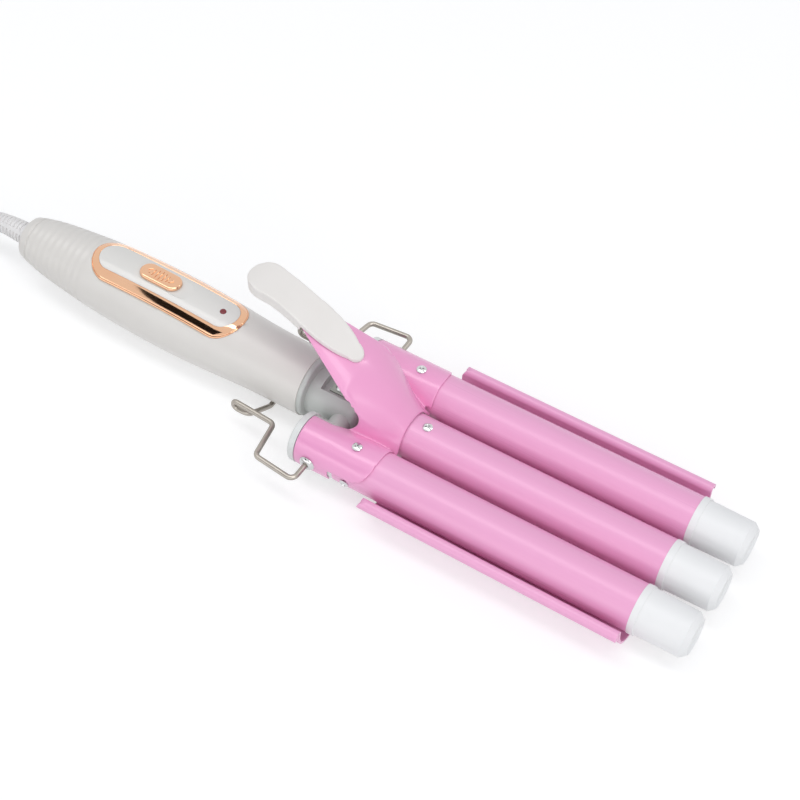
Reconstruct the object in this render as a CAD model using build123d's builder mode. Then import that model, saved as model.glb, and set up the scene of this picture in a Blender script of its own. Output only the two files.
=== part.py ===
from build123d import *
from math import cos, radians, sin, sqrt, tan
import os

# Three-barrel hair waver.  +X points along the barrels to their tips, +Z is up and +Y is the
# left hand of someone who holds the grip.  The origin lies on the table, halfway along.
# Heights and stations on the barrels are counted from the hinge, where the clamp turns.

os.makedirs("parts", exist_ok=True)

# ----------------------------------------------------------------------------- driving sizes, mm

# Overall layout along X
GRIP_LENGTH = 175.0
GRIP_TO_HINGE = 22.0
HINGE_TO_BARREL_END = 157.0
CAP_LENGTH = 26.0

# Barrels
BARREL_DIAMETER = 22.0
BARREL_WALL = 1.0
BARREL_PITCH = 26.2
OUTER_TUBE_START = 12.5
MIDDLE_TUBE_START = 8.5
TUBE_FIT = 0.05

# Tip caps
CAP_COLLAR_LENGTH = 3.0
CAP_COLLAR_PROUD = 0.3
CAP_NECK_PROUD = -0.25
CAP_NOSE_PROUD = -0.6
CAP_CHAMFER_LENGTH = 2.6
CAP_FACE_RADIUS = 8.2
CAP_SPIGOT_LENGTH = 12.0
CAP_WALL = 1.8
CAP_DISH_RADIUS = 6.6
CAP_DISH_DEPTH = 0.9

# Heating elements inside the barrels
HEATER_GAP = 3.0
HEATER_END = 140.0
HEATER_THICKNESS = 4.6
HEATER_WIDTH = 14.0
HEATER_CORNER = 0.8
HEATER_FIT = 0.1
SPREADER_FIT = 0.1

# Wave plate: a saddle under the middle barrel and a trough round each outer one
TROUGH_RADIUS = 15.3
PLATE_THICKNESS = 1.2
SADDLE_FIT = 0.1
CREST_DROP = 4.2
LIP_RADIUS = 2.5
LIP_RISE = 1.5
LIP_SKIRT_DROP = 0.8
PLATE_START = 31.4
PLATE_END_GAP = 0.2
PLATE_CORNER = 4.0
PLATE_SCREW_REAR = 42.0
PLATE_SCREW_FRONT = 134.0

# Clamp cover
COVER_THICKNESS = 0.8
COVER_FIT = 0.1
COVER_FRONT = 31.4
ARM_REAR = -7.5
ARM_INNER_REACH = 0.77
ARM_LOW_ANGLE = 34.0
ARM_SIDE_LIFT = 1.25
ARM_TAB_FRONT = 10.5
ARM_FRONT_CORNER = 12.0
ARM_INNER_SETBACK = 6.0
ARM_STRAIGHT_END = 3.0
ARM_TAPER = 5.4
VALLEY_ANGLE = 17.0
SHOULDER_ANGLE = 37.0
CLAMP_GAP = 0.3
# Sections of the ramp: station from the hinge, half width and height of its edge, height of
# its ridge.  Both heights are counted from the top of the sleeves.
RAMP_FRONT = (
    (22.0, 13.6, 0.4, 9.4),
    (13.4, 17.0, 8.6, 16.9),
    (5.9, 17.0, 17.5, 22.4),
)
TONGUE = (
    (5.9, 17.0, 17.5, 22.4),
    (-21.9, 7.3, 36.0, 38.2),
    (-43.0, 6.5, 45.3, 46.1),
)
CHEEK_STATION = 13.4
CHEEK_DROP = 1.0
CHEEK_SLOPE = 0.6
SLOT_END = 13.1
SLOT_END_RISE = 2.5
CUT_MARGIN = 1.0

# Thumb pad
PAD_THICKNESS = 2.0
PAD_HALF_WIDTH = 8.8
PAD_FRONT = 5.0
PAD_FRONT_HALF_WIDTH = 4.6
PAD_REAR = -50.0
PAD_SKIRT_DEPTH = 6.0
PAD_SKIRT_WALL = 1.6
PAD_SKIRT_FRONT = -22.0
PAD_BLADE_DEPTH = 3.6
PAD_SEAT_GAP = 0.05
PAD_TIP_LENGTH = 4.6
# stations and half widths where the pad's side swings in to its tip
PAD_WAIST = ((-21.0, 8.4), (-2.7, 6.1))
# top of the pad: station from the hinge, height over the sleeves
PAD_TOP = (
    (-51.0, 47.6),
    (-42.5, 48.3),
    (-33.0, 45.4),
    (-21.4, 39.6),
    (-8.0, 32.6),
    (6.0, 24.0),
)

# Hinge
JOURNAL_RADIUS = 5.1
JOURNAL_FIT = 0.1
JOURNAL_REACH = 20.2
JOURNAL_BORE_RADIUS = 2.6
PLUG_FLANGE_LENGTH = 3.4
PLUG_REAR_REACH = 11.0
PLUG_ROUNDING = 1.0
PLUG_SPIGOT_END = 30.0
PLUG_CHANNEL_RADIUS = 3.0

# Stand
WIRE_DIAMETER = 2.5
WIRE_FIT = 0.08
WIRE_BEND = 3.0
WIRE_HIDDEN_LENGTH = 8.1
STAND_SIDE_GAP = 10.8
STAND_TOE_IN = 2.2
STAND_REAR_GAP = 10.7
STAND_CROSS_SLANT = 3.3
STAND_LEG_OFFSET = 1.5
STAND_LEG_TOE_IN = 1.3
STAND_LEG_LENGTH = 23.4
STAND_LOOP_HEIGHT = 4.9
STAND_LOOP_SLACK = 0.1
STAND_LOOP_LENGTH = 7.9
STAND_HALF_BAR = 10.5
RIVET_HEAD_RADIUS = 3.8
RIVET_HEAD_HEIGHT = 1.5
RIVET_HEAD_EDGE = 0.9
RIVET_ROLL = 0.6
RIVET_DOME = 2.85
RIVET_SHANK_RADIUS = 2.3
RIVET_LENGTH = 5.0

# Screws
SCREW_HEAD_RADIUS = 2.3
SCREW_HEAD_HEIGHT = 1.1
SCREW_HEAD_EDGE = 0.37
SCREW_SHANK_RADIUS = 1.1
SCREW_LENGTH = 7.0
PILOT_FIT = 0.05
ARM_SCREW_STATION = 19.0
SIDE_SCREW_DROP = 10.0
MIDDLE_SCREW_STATION = 38.6

# Neck
NECK_RADIUS = 11.6
NECK_FRONT = 8.0
NECK_FRONT_ROUNDING = 4.0
NECK_BORE_RADIUS = 6.5
NECK_SLOT_HALF_WIDTH = 6.0
NECK_SLOT_REAR = -14.0
NECK_SLOT_FLOOR = 8.0
COLLAR_RADIUS = 15.0
COLLAR_LENGTH = 2.4
COLLAR_ROUNDING = 1.0
SPIGOT_FIT = 0.1
NECK_SPIGOT_LENGTH = 16.0
INSULATOR_REAR = -11.0
INSULATOR_FRONT = 46.0

# Leaf spring between the neck and the tongue
SPRING_WIDTH = 7.0
SPRING_THICKNESS = 0.6
SPRING_BEND = 2.6
SPRING_TIP_BEND = 5.2
# lower limb from its rear end to the fold, then the upper limb's knee and tip, both a
# station from the hinge and a height over the sleeves
SPRING_REAR = -11.0
SPRING_FOLD = 4.5
SPRING_KNEE = (-9.5, 29.3)
SPRING_TIP = (-15.5, 32.6)
SPRING_SCREW_STATION = -7.0
SPRING_SCREW_LENGTH = 5.0

# Grip: a turned body on an axis that rises a little to the rear
GRIP_TILT = 1.72
GRIP_AXIS_RISE = 1.67
GRIP_WALL = 2.4
# station from the grip's front end and radius there
GRIP_FRONT_OUTLINE = (
    (0.0, 15.6),
    (14.0, 15.85),
    (28.0, 16.15),
    (46.0, 17.25),
    (64.0, 18.25),
)
# distance from the grip's rear end and radius there
GRIP_REAR_OUTLINE = (
    (91.0, 18.55),
    (71.0, 18.15),
    (51.0, 17.05),
    (33.0, 15.2),
    (18.0, 12.9),
    (7.0, 10.1),
)
GRIP_END_RADIUS = 8.6
GRIP_END_ROUNDING = 3.2
PARTING_DROP = 3.0
FIRST_RIB_FROM_REAR = 49.5
RIB_PITCH = 4.1
RIB_COUNT = 10
RIB_DEPTH = 0.45
RIB_HALF_WIDTH = 0.9
RIB_CUT_HEIGHT = 1.2
GRIP_HALF_ROOM = 30.0
POST_ROOT = 0.6

# Control panel
PANEL_CENTRE = 81.0
INLAY_LENGTH = 77.8
INLAY_WIDTH = 15.8
INLAY_PROUD = 0.9
BEZEL_END_RIM = 3.5
BEZEL_SIDE_RIM = 4.3
BEZEL_PROUD = 0.35
PANEL_POCKET_DEPTH = 1.2
PANEL_SEAT_GAP = 0.05
PANEL_EDGE_GAP = 0.1
KNOB_LENGTH = 22.5
KNOB_WIDTH = 9.5
KNOB_HEIGHT = 1.7
KNOB_CENTRE = 83.3
KNOB_GAP = 0.4
KNOB_LIFT = 0.15
KNOB_TRAVEL = 4.0
KNOB_STEM_LENGTH = 6.0
KNOB_STEM_WIDTH = 3.0
KNOB_STEM_DEPTH = 5.0
KNOB_ROUNDING = 0.8
KNOB_BAR_COUNT = 5
KNOB_BAR_PITCH = 2.2
KNOB_BAR_WIDTH = 1.1
KNOB_BAR_LENGTH = 5.2
KNOB_BAR_DEPTH = 0.35
STEM_GAP = 0.3
LENS_END_GAP = 7.9
LENS_RADIUS = 1.5
LENS_DOME = 0.4

# Inside the grip
BOARD_THICKNESS = 1.6
BOARD_WIDTH = 22.0
BOARD_END_GAP = 1.9
BOARD_SHIFT = 1.0
BOARD_HEIGHT = 5.4
BOARD_CORNER = 2.0
BOARD_SCREW_LENGTH = 5.4
BOARD_POST_RADIUS = 2.6
BOARD_POST_FRONT_INSET = 4.0
BOARD_POST_REAR_INSET = 7.0
BOARD_POST_SIDE = 7.5
SWITCH_LENGTH = 20.0
SWITCH_WIDTH = 10.0
SWITCH_TOP_GAP = 0.3
SWITCH_SLIDE_GAP = 0.1
LED_RADIUS = 1.45
LED_GAP = 0.1
LENS_ROOT_DEPTH = 2.2
CASE_SCREW_FRONT = 26.0
CASE_SCREW_FROM_REAR = 41.0
CASE_BOSS_RADIUS = 3.8
CASE_POST_RADIUS = 2.9
CASE_SCREW_HEAD_DEPTH = 5.0
CASE_SCREW_LENGTH = 14.0
SCREW_HEAD_GAP = 0.3
CLAMP_BAR_THICKNESS = 2.4
CLAMP_BAR_WIDTH = 6.0
CLAMP_BAR_OVERHANG = 2.5
CLAMP_BAR_CORNER = 1.5
CLAMP_POST_SIDE = 5.6
CLAMP_POST_RADIUS = 2.5
INNER_CORD_LENGTH = 27.0

# Cord
CORD_DIAMETER = 6.0
RELIEF_LENGTH = 34.0
RELIEF_BEND_RADIUS = 58.0
RELIEF_ROOT_RADIUS = 5.0
RELIEF_TIP_RADIUS = 3.6
RELIEF_FLANGE_RADIUS = 5.9
RELIEF_SECTIONS = 5
RELIEF_FLANGE_LENGTH = 2.5
RELIEF_GRIP_FIT = 0.05
CORD_CLAMP_FROM_REAR = 25.0
COIL_OUTER_TURN = 47.25
COIL_INNER_TURN = 24.75
COIL_LAYER_STEP = 6.2
COIL_LIFT = 0.05
COIL_ENTRY = -262.0
COIL_INSET = 3.0
TAIL_SLOPE_LENGTH = 19.0
TAIL_LENGTH = 36.0
COIL_EDGE_ROUNDING = 2.5
PLUG_BODY_LENGTH = 36.0
PLUG_BODY_WIDTH = 26.0
PLUG_BODY_HEIGHT = 14.0
PLUG_NOSE_LENGTH = 12.0
PLUG_NOSE_SIZE = 8.5
PLUG_WAIST_WIDTH = 13.0
PLUG_WAIST_HEIGHT = 12.6
PLUG_SHOULDER_LENGTH = 16.2
PLUG_CORNER = 4.0
PLUG_PIN_ROUNDING = 1.6
PLUG_PIN_RADIUS = 2.0
PLUG_PIN_SLEEVE_RADIUS = 1.5
PLUG_PIN_SLEEVE_LENGTH = 10.0
PLUG_PIN_LENGTH = 19.0
PLUG_PIN_SPACING = 18.6
PLUG_PIN_ROOT = 6.0

# ---------------------------------------------------------------------- sizes that follow from them

OVERALL_LENGTH = GRIP_LENGTH + GRIP_TO_HINGE + HINGE_TO_BARREL_END + CAP_LENGTH
GRIP_FRONT = GRIP_LENGTH - OVERALL_LENGTH / 2
HINGE = GRIP_FRONT + GRIP_TO_HINGE
BARREL_END = HINGE + HINGE_TO_BARREL_END
BARREL_RADIUS = BARREL_DIAMETER / 2
BARREL_BORE = BARREL_RADIUS - BARREL_WALL
SPIGOT_RADIUS = BARREL_BORE - TUBE_FIT
AXIS_HEIGHT = TROUGH_RADIUS + PLATE_THICKNESS
COVER_INNER = BARREL_RADIUS + COVER_FIT
COVER_OUTER = COVER_INNER + COVER_THICKNESS
WIRE_RADIUS = WIRE_DIAMETER / 2
ARM_INNER_EDGE = BARREL_PITCH - COVER_OUTER * ARM_INNER_REACH
ARM_INNER_HEIGHT = COVER_OUTER * sqrt(1 - ARM_INNER_REACH**2)
ARM_INNER_REAR_EDGE = BARREL_PITCH - ARM_INNER_SETBACK
SLOT_FOOT = ARM_STRAIGHT_END + ARM_TAPER
SIDES = {"left": BARREL_PITCH, "right": -BARREL_PITCH}
OUTWARD = {"left": 1, "right": -1}
BARRELS = {"left": BARREL_PITCH, "middle": 0.0, "right": -BARREL_PITCH}
GRIP_OUTLINE = GRIP_FRONT_OUTLINE + tuple((GRIP_LENGTH - back, r) for back, r in GRIP_REAR_OUTLINE)
RIB_START = GRIP_LENGTH - FIRST_RIB_FROM_REAR
BEZEL_LENGTH = INLAY_LENGTH + 2 * BEZEL_END_RIM
BEZEL_WIDTH = INLAY_WIDTH + 2 * BEZEL_SIDE_RIM
LENS_CENTRE = PANEL_CENTRE - INLAY_LENGTH / 2 + LENS_END_GAP
BOARD_CENTRE = PANEL_CENTRE + BOARD_SHIFT
BOARD_LENGTH = INLAY_LENGTH - 2 * BOARD_END_GAP
CORD_CLAMP_STATION = GRIP_LENGTH - CORD_CLAMP_FROM_REAR
FAR = 400.0
HALVINGS = 30
CORD_BEND_SHARE = 0.45


# --------------------------------------------------------------------------------------- helpers


def across(station, side=0.0):
    """Plane across the barrels, counted from the hinge; its local x is +Y and its local y is up."""
    return Plane(origin=(HINGE + station, side, AXIS_HEIGHT), x_dir=(0, 1, 0), z_dir=(1, 0, 0))


def beside(side=0.0):
    """Upright plane along the barrels; its local x is +X from the hinge and its local y is up."""
    return Plane(origin=(HINGE, side, AXIS_HEIGHT), x_dir=(1, 0, 0), z_dir=(0, -1, 0))


def above(height=0.0):
    """Level plane seen from above, with its origin over the hinge."""
    return Plane(origin=(HINGE, 0, AXIS_HEIGHT + height), x_dir=(1, 0, 0), z_dir=(0, 0, 1))


def seat(station, side, height, outward):
    """Place of a screw or rivet: under its head, looking outward."""
    return Plane(origin=(HINGE + station, side, AXIS_HEIGHT + height), z_dir=outward)


def keep(piece, name):
    piece.part.label = name
    export_step(piece.part, f"parts/{name}.step")


# The grip's own planes: local x runs to the rear along its axis.
GRIP_ORIGIN = (GRIP_FRONT, 0, AXIS_HEIGHT + GRIP_AXIS_RISE)
GRIP_REARWARD = (-cos(radians(GRIP_TILT)), 0, sin(radians(GRIP_TILT)))
GRIP_UPWARD = (sin(radians(GRIP_TILT)), 0, cos(radians(GRIP_TILT)))
GRIP_SIDE = Plane(origin=GRIP_ORIGIN, x_dir=GRIP_REARWARD, z_dir=(0, 1, 0))
GRIP_LEVEL = Plane(origin=GRIP_ORIGIN, x_dir=GRIP_REARWARD, z_dir=GRIP_UPWARD)
GRIP_ACROSS = Plane(origin=GRIP_ORIGIN, x_dir=(0, 1, 0), z_dir=GRIP_REARWARD)
GRIP_AXIS = Axis(GRIP_ORIGIN, GRIP_REARWARD)
GRIP_LIFT = Axis(GRIP_ORIGIN, GRIP_UPWARD)


def on_grip(station, side, height, direction=GRIP_UPWARD):
    """Place of a screw in the grip, counted from its front end and its axis."""
    return Plane(origin=GRIP_LEVEL.from_local_coords((station, -side, height)), z_dir=direction)


def holes(seats, radius, depth):
    """Cuts one blind hole under each seat of the piece being built."""
    with Locations(*seats):
        Cylinder(radius, depth, align=(Align.CENTER, Align.CENTER, Align.MAX), mode=Mode.SUBTRACT)


def screw_blank(length):
    """Pan-head screw: a head domed as part of a ball, over a plain shank."""
    rise = SCREW_HEAD_HEIGHT - SCREW_HEAD_EDGE
    ball = (SCREW_HEAD_RADIUS**2 + rise**2) / (2 * rise)
    with BuildPart() as screw:
        with BuildSketch(Plane.XZ):
            with BuildLine():
                Polyline(
                    (0, SCREW_HEAD_HEIGHT),
                    (0, -length),
                    (SCREW_SHANK_RADIUS, -length),
                    (SCREW_SHANK_RADIUS, 0),
                    (SCREW_HEAD_RADIUS, 0),
                    (SCREW_HEAD_RADIUS, SCREW_HEAD_EDGE),
                )
                RadiusArc((SCREW_HEAD_RADIUS, SCREW_HEAD_EDGE), (0, SCREW_HEAD_HEIGHT), -ball)
            make_face()
        revolve(axis=Axis.Z)
    return screw.part


def screw_group(name, seats, length):
    blank = screw_blank(length)
    with BuildPart() as group:
        with Locations(*seats):
            add(blank)
    keep(group, name)


# --------------------------------------------------------------------------------------- barrels

ARM_SCREW_SEATS = {
    name: seat(ARM_SCREW_STATION, side, COVER_OUTER, (0, 0, 1)) for name, side in SIDES.items()
}
SIDE_SCREW_OUT = cos(radians(SIDE_SCREW_DROP))
SIDE_SCREW_DOWN = -sin(radians(SIDE_SCREW_DROP))
SIDE_SCREW_SEATS = {
    name: seat(
        ARM_SCREW_STATION,
        side + OUTWARD[name] * BARREL_RADIUS * SIDE_SCREW_OUT,
        BARREL_RADIUS * SIDE_SCREW_DOWN,
        (0, OUTWARD[name] * SIDE_SCREW_OUT, SIDE_SCREW_DOWN),
    )
    for name, side in SIDES.items()
}
MIDDLE_SCREW_SEAT = seat(MIDDLE_SCREW_STATION, 0, BARREL_RADIUS, (0, 0, 1))
PLATE_SCREW_SEATS = [
    seat(station, 0, -BARREL_RADIUS - SADDLE_FIT - PLATE_THICKNESS, (0, 0, -1))
    for station in (PLATE_SCREW_REAR, PLATE_SCREW_FRONT)
]
PILOT_RADIUS = SCREW_SHANK_RADIUS + PILOT_FIT


def barrel_tube(name, side, start, seats):
    with BuildPart() as tube:
        with BuildSketch(across(start, side)):
            Circle(BARREL_RADIUS)
            Circle(BARREL_BORE, mode=Mode.SUBTRACT)
        extrude(amount=HINGE_TO_BARREL_END - start)
        holes(seats, PILOT_RADIUS, SCREW_LENGTH)
    keep(tube, f"{name}_barrel_tube")


def tip_cap(name, side):
    nose = BARREL_RADIUS + CAP_NOSE_PROUD
    with BuildPart() as cap:
        with BuildSketch(Plane(origin=(BARREL_END, side, AXIS_HEIGHT), z_dir=(0, -1, 0), x_dir=(1, 0, 0))):
            with BuildLine():
                Polyline(
                    (-CAP_SPIGOT_LENGTH, SPIGOT_RADIUS - CAP_WALL),
                    (-CAP_SPIGOT_LENGTH, SPIGOT_RADIUS),
                    (0, SPIGOT_RADIUS),
                    (0, BARREL_RADIUS + CAP_COLLAR_PROUD),
                    (CAP_COLLAR_LENGTH, BARREL_RADIUS + CAP_COLLAR_PROUD),
                    (CAP_COLLAR_LENGTH, BARREL_RADIUS + CAP_NECK_PROUD),
                    (CAP_LENGTH - CAP_CHAMFER_LENGTH, nose),
                    (CAP_LENGTH, CAP_FACE_RADIUS),
                    (CAP_LENGTH, CAP_DISH_RADIUS + CAP_DISH_DEPTH),
                    (CAP_LENGTH - CAP_DISH_DEPTH, CAP_DISH_RADIUS),
                    (CAP_LENGTH - CAP_DISH_DEPTH, 0),
                    (CAP_LENGTH - CAP_DISH_DEPTH - CAP_WALL, 0),
                    (CAP_LENGTH - CAP_DISH_DEPTH - CAP_WALL, CAP_DISH_RADIUS - CAP_WALL / 2),
                    (CAP_LENGTH - CAP_CHAMFER_LENGTH - CAP_WALL, SPIGOT_RADIUS - CAP_WALL),
                    close=True,
                )
            make_face()
        revolve(axis=Axis((BARREL_END, side, AXIS_HEIGHT), (1, 0, 0)))
    keep(cap, f"{name}_tip_cap")


def heater(name, side, start):
    """Flat ceramic heater held between two half-round aluminium spreaders."""
    radius = BARREL_BORE - SPREADER_FIT
    with BuildPart() as spreader:
        with BuildSketch(across(start, side)):
            Circle(radius)
            Rectangle(2 * radius, HEATER_THICKNESS + 2 * HEATER_FIT, mode=Mode.SUBTRACT)
        extrude(amount=HEATER_END - start)
        if name == "middle":
            holes(PLATE_SCREW_SEATS[1:], PILOT_RADIUS, SCREW_LENGTH)
    keep(spreader, f"{name}_heat_spreader")
    with BuildPart() as element:
        with BuildSketch(across(start, side)):
            RectangleRounded(HEATER_WIDTH, HEATER_THICKNESS, HEATER_CORNER)
        extrude(amount=HEATER_END - start)
    keep(element, f"{name}_heater")


# ------------------------------------------------------------------------------------ wave plate


def wave_plate():
    """One sheet: saddle, crests and troughs, each trough ending in a rolled lip."""
    saddle = BARREL_RADIUS + SADDLE_FIT
    lip_centre = BARREL_PITCH + TROUGH_RADIUS + LIP_RADIUS
    with BuildPart() as plate:
        with BuildSketch(across(PLATE_START)):
            Circle(saddle + PLATE_THICKNESS)
            with Locations((-BARREL_PITCH, 0), (BARREL_PITCH, 0)):
                Circle(TROUGH_RADIUS + PLATE_THICKNESS)
            with Locations((-BARREL_PITCH, 0), (BARREL_PITCH, 0)):
                Circle(TROUGH_RADIUS, mode=Mode.SUBTRACT)
            Circle(saddle, mode=Mode.SUBTRACT)
            with Locations((0, -CREST_DROP)):
                Rectangle(2 * BARREL_PITCH, FAR, align=(Align.CENTER, Align.MIN), mode=Mode.SUBTRACT)
            Rectangle(FAR, FAR, align=(Align.CENTER, Align.MIN), mode=Mode.SUBTRACT)
        with BuildSketch(across(PLATE_START)):
            for way in (-1, 1):
                with Locations((way * lip_centre, LIP_RISE)):
                    Circle(LIP_RADIUS)
                    Circle(LIP_RADIUS - PLATE_THICKNESS, mode=Mode.SUBTRACT)
                    Rectangle(2 * LIP_RADIUS, LIP_RADIUS, align=(Align.CENTER, Align.MAX), mode=Mode.SUBTRACT)
                with Locations((way * (lip_centre - LIP_RADIUS + PLATE_THICKNESS / 2), LIP_RISE)):
                    Rectangle(PLATE_THICKNESS, LIP_RISE, align=(Align.CENTER, Align.MAX))
                with Locations((way * (lip_centre + LIP_RADIUS - PLATE_THICKNESS / 2), LIP_RISE)):
                    Rectangle(PLATE_THICKNESS, LIP_SKIRT_DROP, align=(Align.CENTER, Align.MAX))
        extrude(amount=HINGE_TO_BARREL_END - PLATE_END_GAP - PLATE_START)
        with BuildSketch(beside(FAR / 8)):
            with Locations((PLATE_START, LIP_RISE + LIP_RADIUS)):
                Rectangle(PLATE_CORNER, PLATE_CORNER, align=(Align.MIN, Align.MAX))
            with Locations((PLATE_START + PLATE_CORNER, LIP_RISE + LIP_RADIUS - PLATE_CORNER)):
                Circle(PLATE_CORNER, mode=Mode.SUBTRACT)
        extrude(amount=FAR / 4, mode=Mode.SUBTRACT)
        holes(PLATE_SCREW_SEATS, PILOT_RADIUS, SCREW_LENGTH)
    keep(plate, "wave_plate")


# ----------------------------------------------------------------------------------- clamp cover


def ramp_section(station, half_width, edge, ridge, inset, raised):
    """Outline across the ramp: two feet on the sleeves, sloping cheeks and a crowned top."""
    valley_front = BARREL_PITCH - COVER_OUTER * cos(radians(VALLEY_ANGLE))
    share = (COVER_FRONT - station) / (COVER_FRONT - CHEEK_STATION)
    foot = valley_front + (ARM_INNER_EDGE - valley_front) * min(share, 1.0)
    if station < CHEEK_STATION:
        foot = half_width
    reach = min(BARREL_PITCH - foot, COVER_INNER)
    low = sqrt(COVER_INNER**2 - reach**2) + COVER_THICKNESS / 4 - 2 * inset + raised
    shoulder = COVER_OUTER + edge - inset * CHEEK_SLOPE + raised
    with BuildSketch(across(station)) as section:
        with BuildLine():
            Polyline(
                (half_width - inset, shoulder),
                (foot - inset, low),
                (inset - foot, low),
                (inset - half_width, shoulder),
            )
            ThreePointArc(
                (inset - half_width, shoulder),
                (0, COVER_OUTER + ridge - inset + raised),
                (half_width - inset, shoulder),
            )
        make_face()
    return section.sketch


def ramp_solid(inset=0.0, raised=0.0):
    """All that lies under the ramp's surface: a curved front, then the straight-edged tongue."""
    over_barrel = BARREL_RADIUS + CLAMP_GAP + COVER_THICKNESS
    front_row = (
        COVER_FRONT,
        over_barrel * cos(radians(SHOULDER_ANGLE)),
        over_barrel * sin(radians(SHOULDER_ANGLE)) - COVER_OUTER,
        over_barrel - COVER_OUTER,
    )
    with BuildPart() as ramp:
        for row in (front_row,) + RAMP_FRONT:
            add(ramp_section(*row, inset, raised))
        loft()
        for row in TONGUE:
            add(ramp_section(*row, inset, raised))
        loft(ruled=True)
    return ramp.part


def under_tongue():
    """Space that frees the tongue from the sleeves; its front end rounds off the two slots."""
    tongue_edge = [(row[0], COVER_OUTER + row[2] - CHEEK_DROP) for row in TONGUE]
    behind = tongue_edge[-1][0] - CUT_MARGIN
    with BuildPart() as space:
        with BuildSketch(beside(FAR / 8)):
            with BuildLine():
                Spline((SLOT_FOOT, ARM_INNER_HEIGHT), (SLOT_END, COVER_OUTER + SLOT_END_RISE), tongue_edge[0])
                Polyline(
                    *tongue_edge,
                    (behind, tongue_edge[-1][1]),
                    (behind, -COVER_OUTER),
                    (SLOT_FOOT, -COVER_OUTER),
                    (SLOT_FOOT, ARM_INNER_HEIGHT),
                )
            make_face()
        extrude(amount=FAR / 4)
    return space.part


def ramp_sheet(ramp_outer):
    with BuildPart() as sheet:
        add(ramp_outer)
        add(ramp_solid(COVER_THICKNESS), mode=Mode.SUBTRACT)
        add(under_tongue(), mode=Mode.SUBTRACT)
    return sheet.part


def beyond_side_edge():
    """What is cut from the left sleeve's side: all but a tab at the rear and a round front corner."""
    corner = COVER_FRONT - ARM_FRONT_CORNER
    past = COVER_FRONT + COVER_THICKNESS
    with BuildPart() as cut:
        with BuildSketch(beside(BARREL_PITCH)):
            with BuildLine():
                Polyline(
                    (ARM_TAB_FRONT, -COVER_OUTER),
                    (ARM_TAB_FRONT, ARM_SIDE_LIFT),
                    (corner, ARM_SIDE_LIFT),
                )
                RadiusArc(
                    (corner, ARM_SIDE_LIFT),
                    (COVER_FRONT, ARM_SIDE_LIFT + ARM_FRONT_CORNER),
                    -ARM_FRONT_CORNER,
                )
                Polyline(
                    (COVER_FRONT, ARM_SIDE_LIFT + ARM_FRONT_CORNER),
                    (past, ARM_SIDE_LIFT + ARM_FRONT_CORNER),
                    (past, -COVER_OUTER),
                    (ARM_TAB_FRONT, -COVER_OUTER),
                )
            make_face()
        extrude(amount=-FAR / 8)
    return cut.part


def clamp_cover(ramp_outer):
    """Pressed sheet: a sleeve over each outer barrel, joined by the ramp that ends in the tongue."""
    side_cut = beyond_side_edge()
    ramp = ramp_sheet(ramp_outer)
    with BuildPart() as cover:
        # a sleeve over each outer barrel, open below
        with BuildSketch(across(ARM_REAR)):
            with Locations(*[(side, 0) for side in SIDES.values()]):
                Circle(COVER_OUTER)
                Circle(COVER_INNER, mode=Mode.SUBTRACT)
            with Locations((0, COVER_OUTER * sin(radians(VALLEY_ANGLE)))):
                Rectangle(2 * BARREL_PITCH, FAR, align=(Align.CENTER, Align.MAX), mode=Mode.SUBTRACT)
            with Locations((0, -COVER_OUTER * sin(radians(ARM_LOW_ANGLE)))):
                Rectangle(FAR, FAR, align=(Align.CENTER, Align.MAX), mode=Mode.SUBTRACT)
        extrude(amount=COVER_FRONT - ARM_REAR)
        # inner edge of each sleeve, seen from above
        with BuildSketch(above(-COVER_OUTER)):
            with BuildLine():
                Polyline(
                    (ARM_REAR - CUT_MARGIN, -ARM_INNER_REAR_EDGE),
                    (ARM_STRAIGHT_END, -ARM_INNER_REAR_EDGE),
                    (SLOT_FOOT, -ARM_INNER_EDGE),
                    (SLOT_FOOT, ARM_INNER_EDGE),
                    (ARM_STRAIGHT_END, ARM_INNER_REAR_EDGE),
                    (ARM_REAR - CUT_MARGIN, ARM_INNER_REAR_EDGE),
                    close=True,
                )
            make_face()
        extrude(amount=2 * COVER_OUTER, mode=Mode.SUBTRACT)
        add(side_cut, mode=Mode.SUBTRACT)
        add(mirror(side_cut, Plane.XZ, mode=Mode.PRIVATE), mode=Mode.SUBTRACT)
        add(ramp_outer, mode=Mode.SUBTRACT)
        add(ramp)
        holes(ARM_SCREW_SEATS.values(), PILOT_RADIUS, SCREW_LENGTH)
        holes(RIVET_SEATS.values(), RIVET_HOLE_RADIUS, RIVET_LENGTH)
    keep(cover, "clamp_cover")


# ------------------------------------------------------------------- what the cover carries


RIVET_SEATS = {
    name: seat(0, side + OUTWARD[name] * COVER_OUTER, 0, (0, OUTWARD[name], 0))
    for name, side in SIDES.items()
}
RIVET_HOLE_RADIUS = RIVET_SHANK_RADIUS + PILOT_FIT
WIRE_HOLE_RADIUS = WIRE_RADIUS + WIRE_FIT
WIRE_END = BARREL_PITCH + COVER_OUTER - WIRE_HIDDEN_LENGTH


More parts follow.
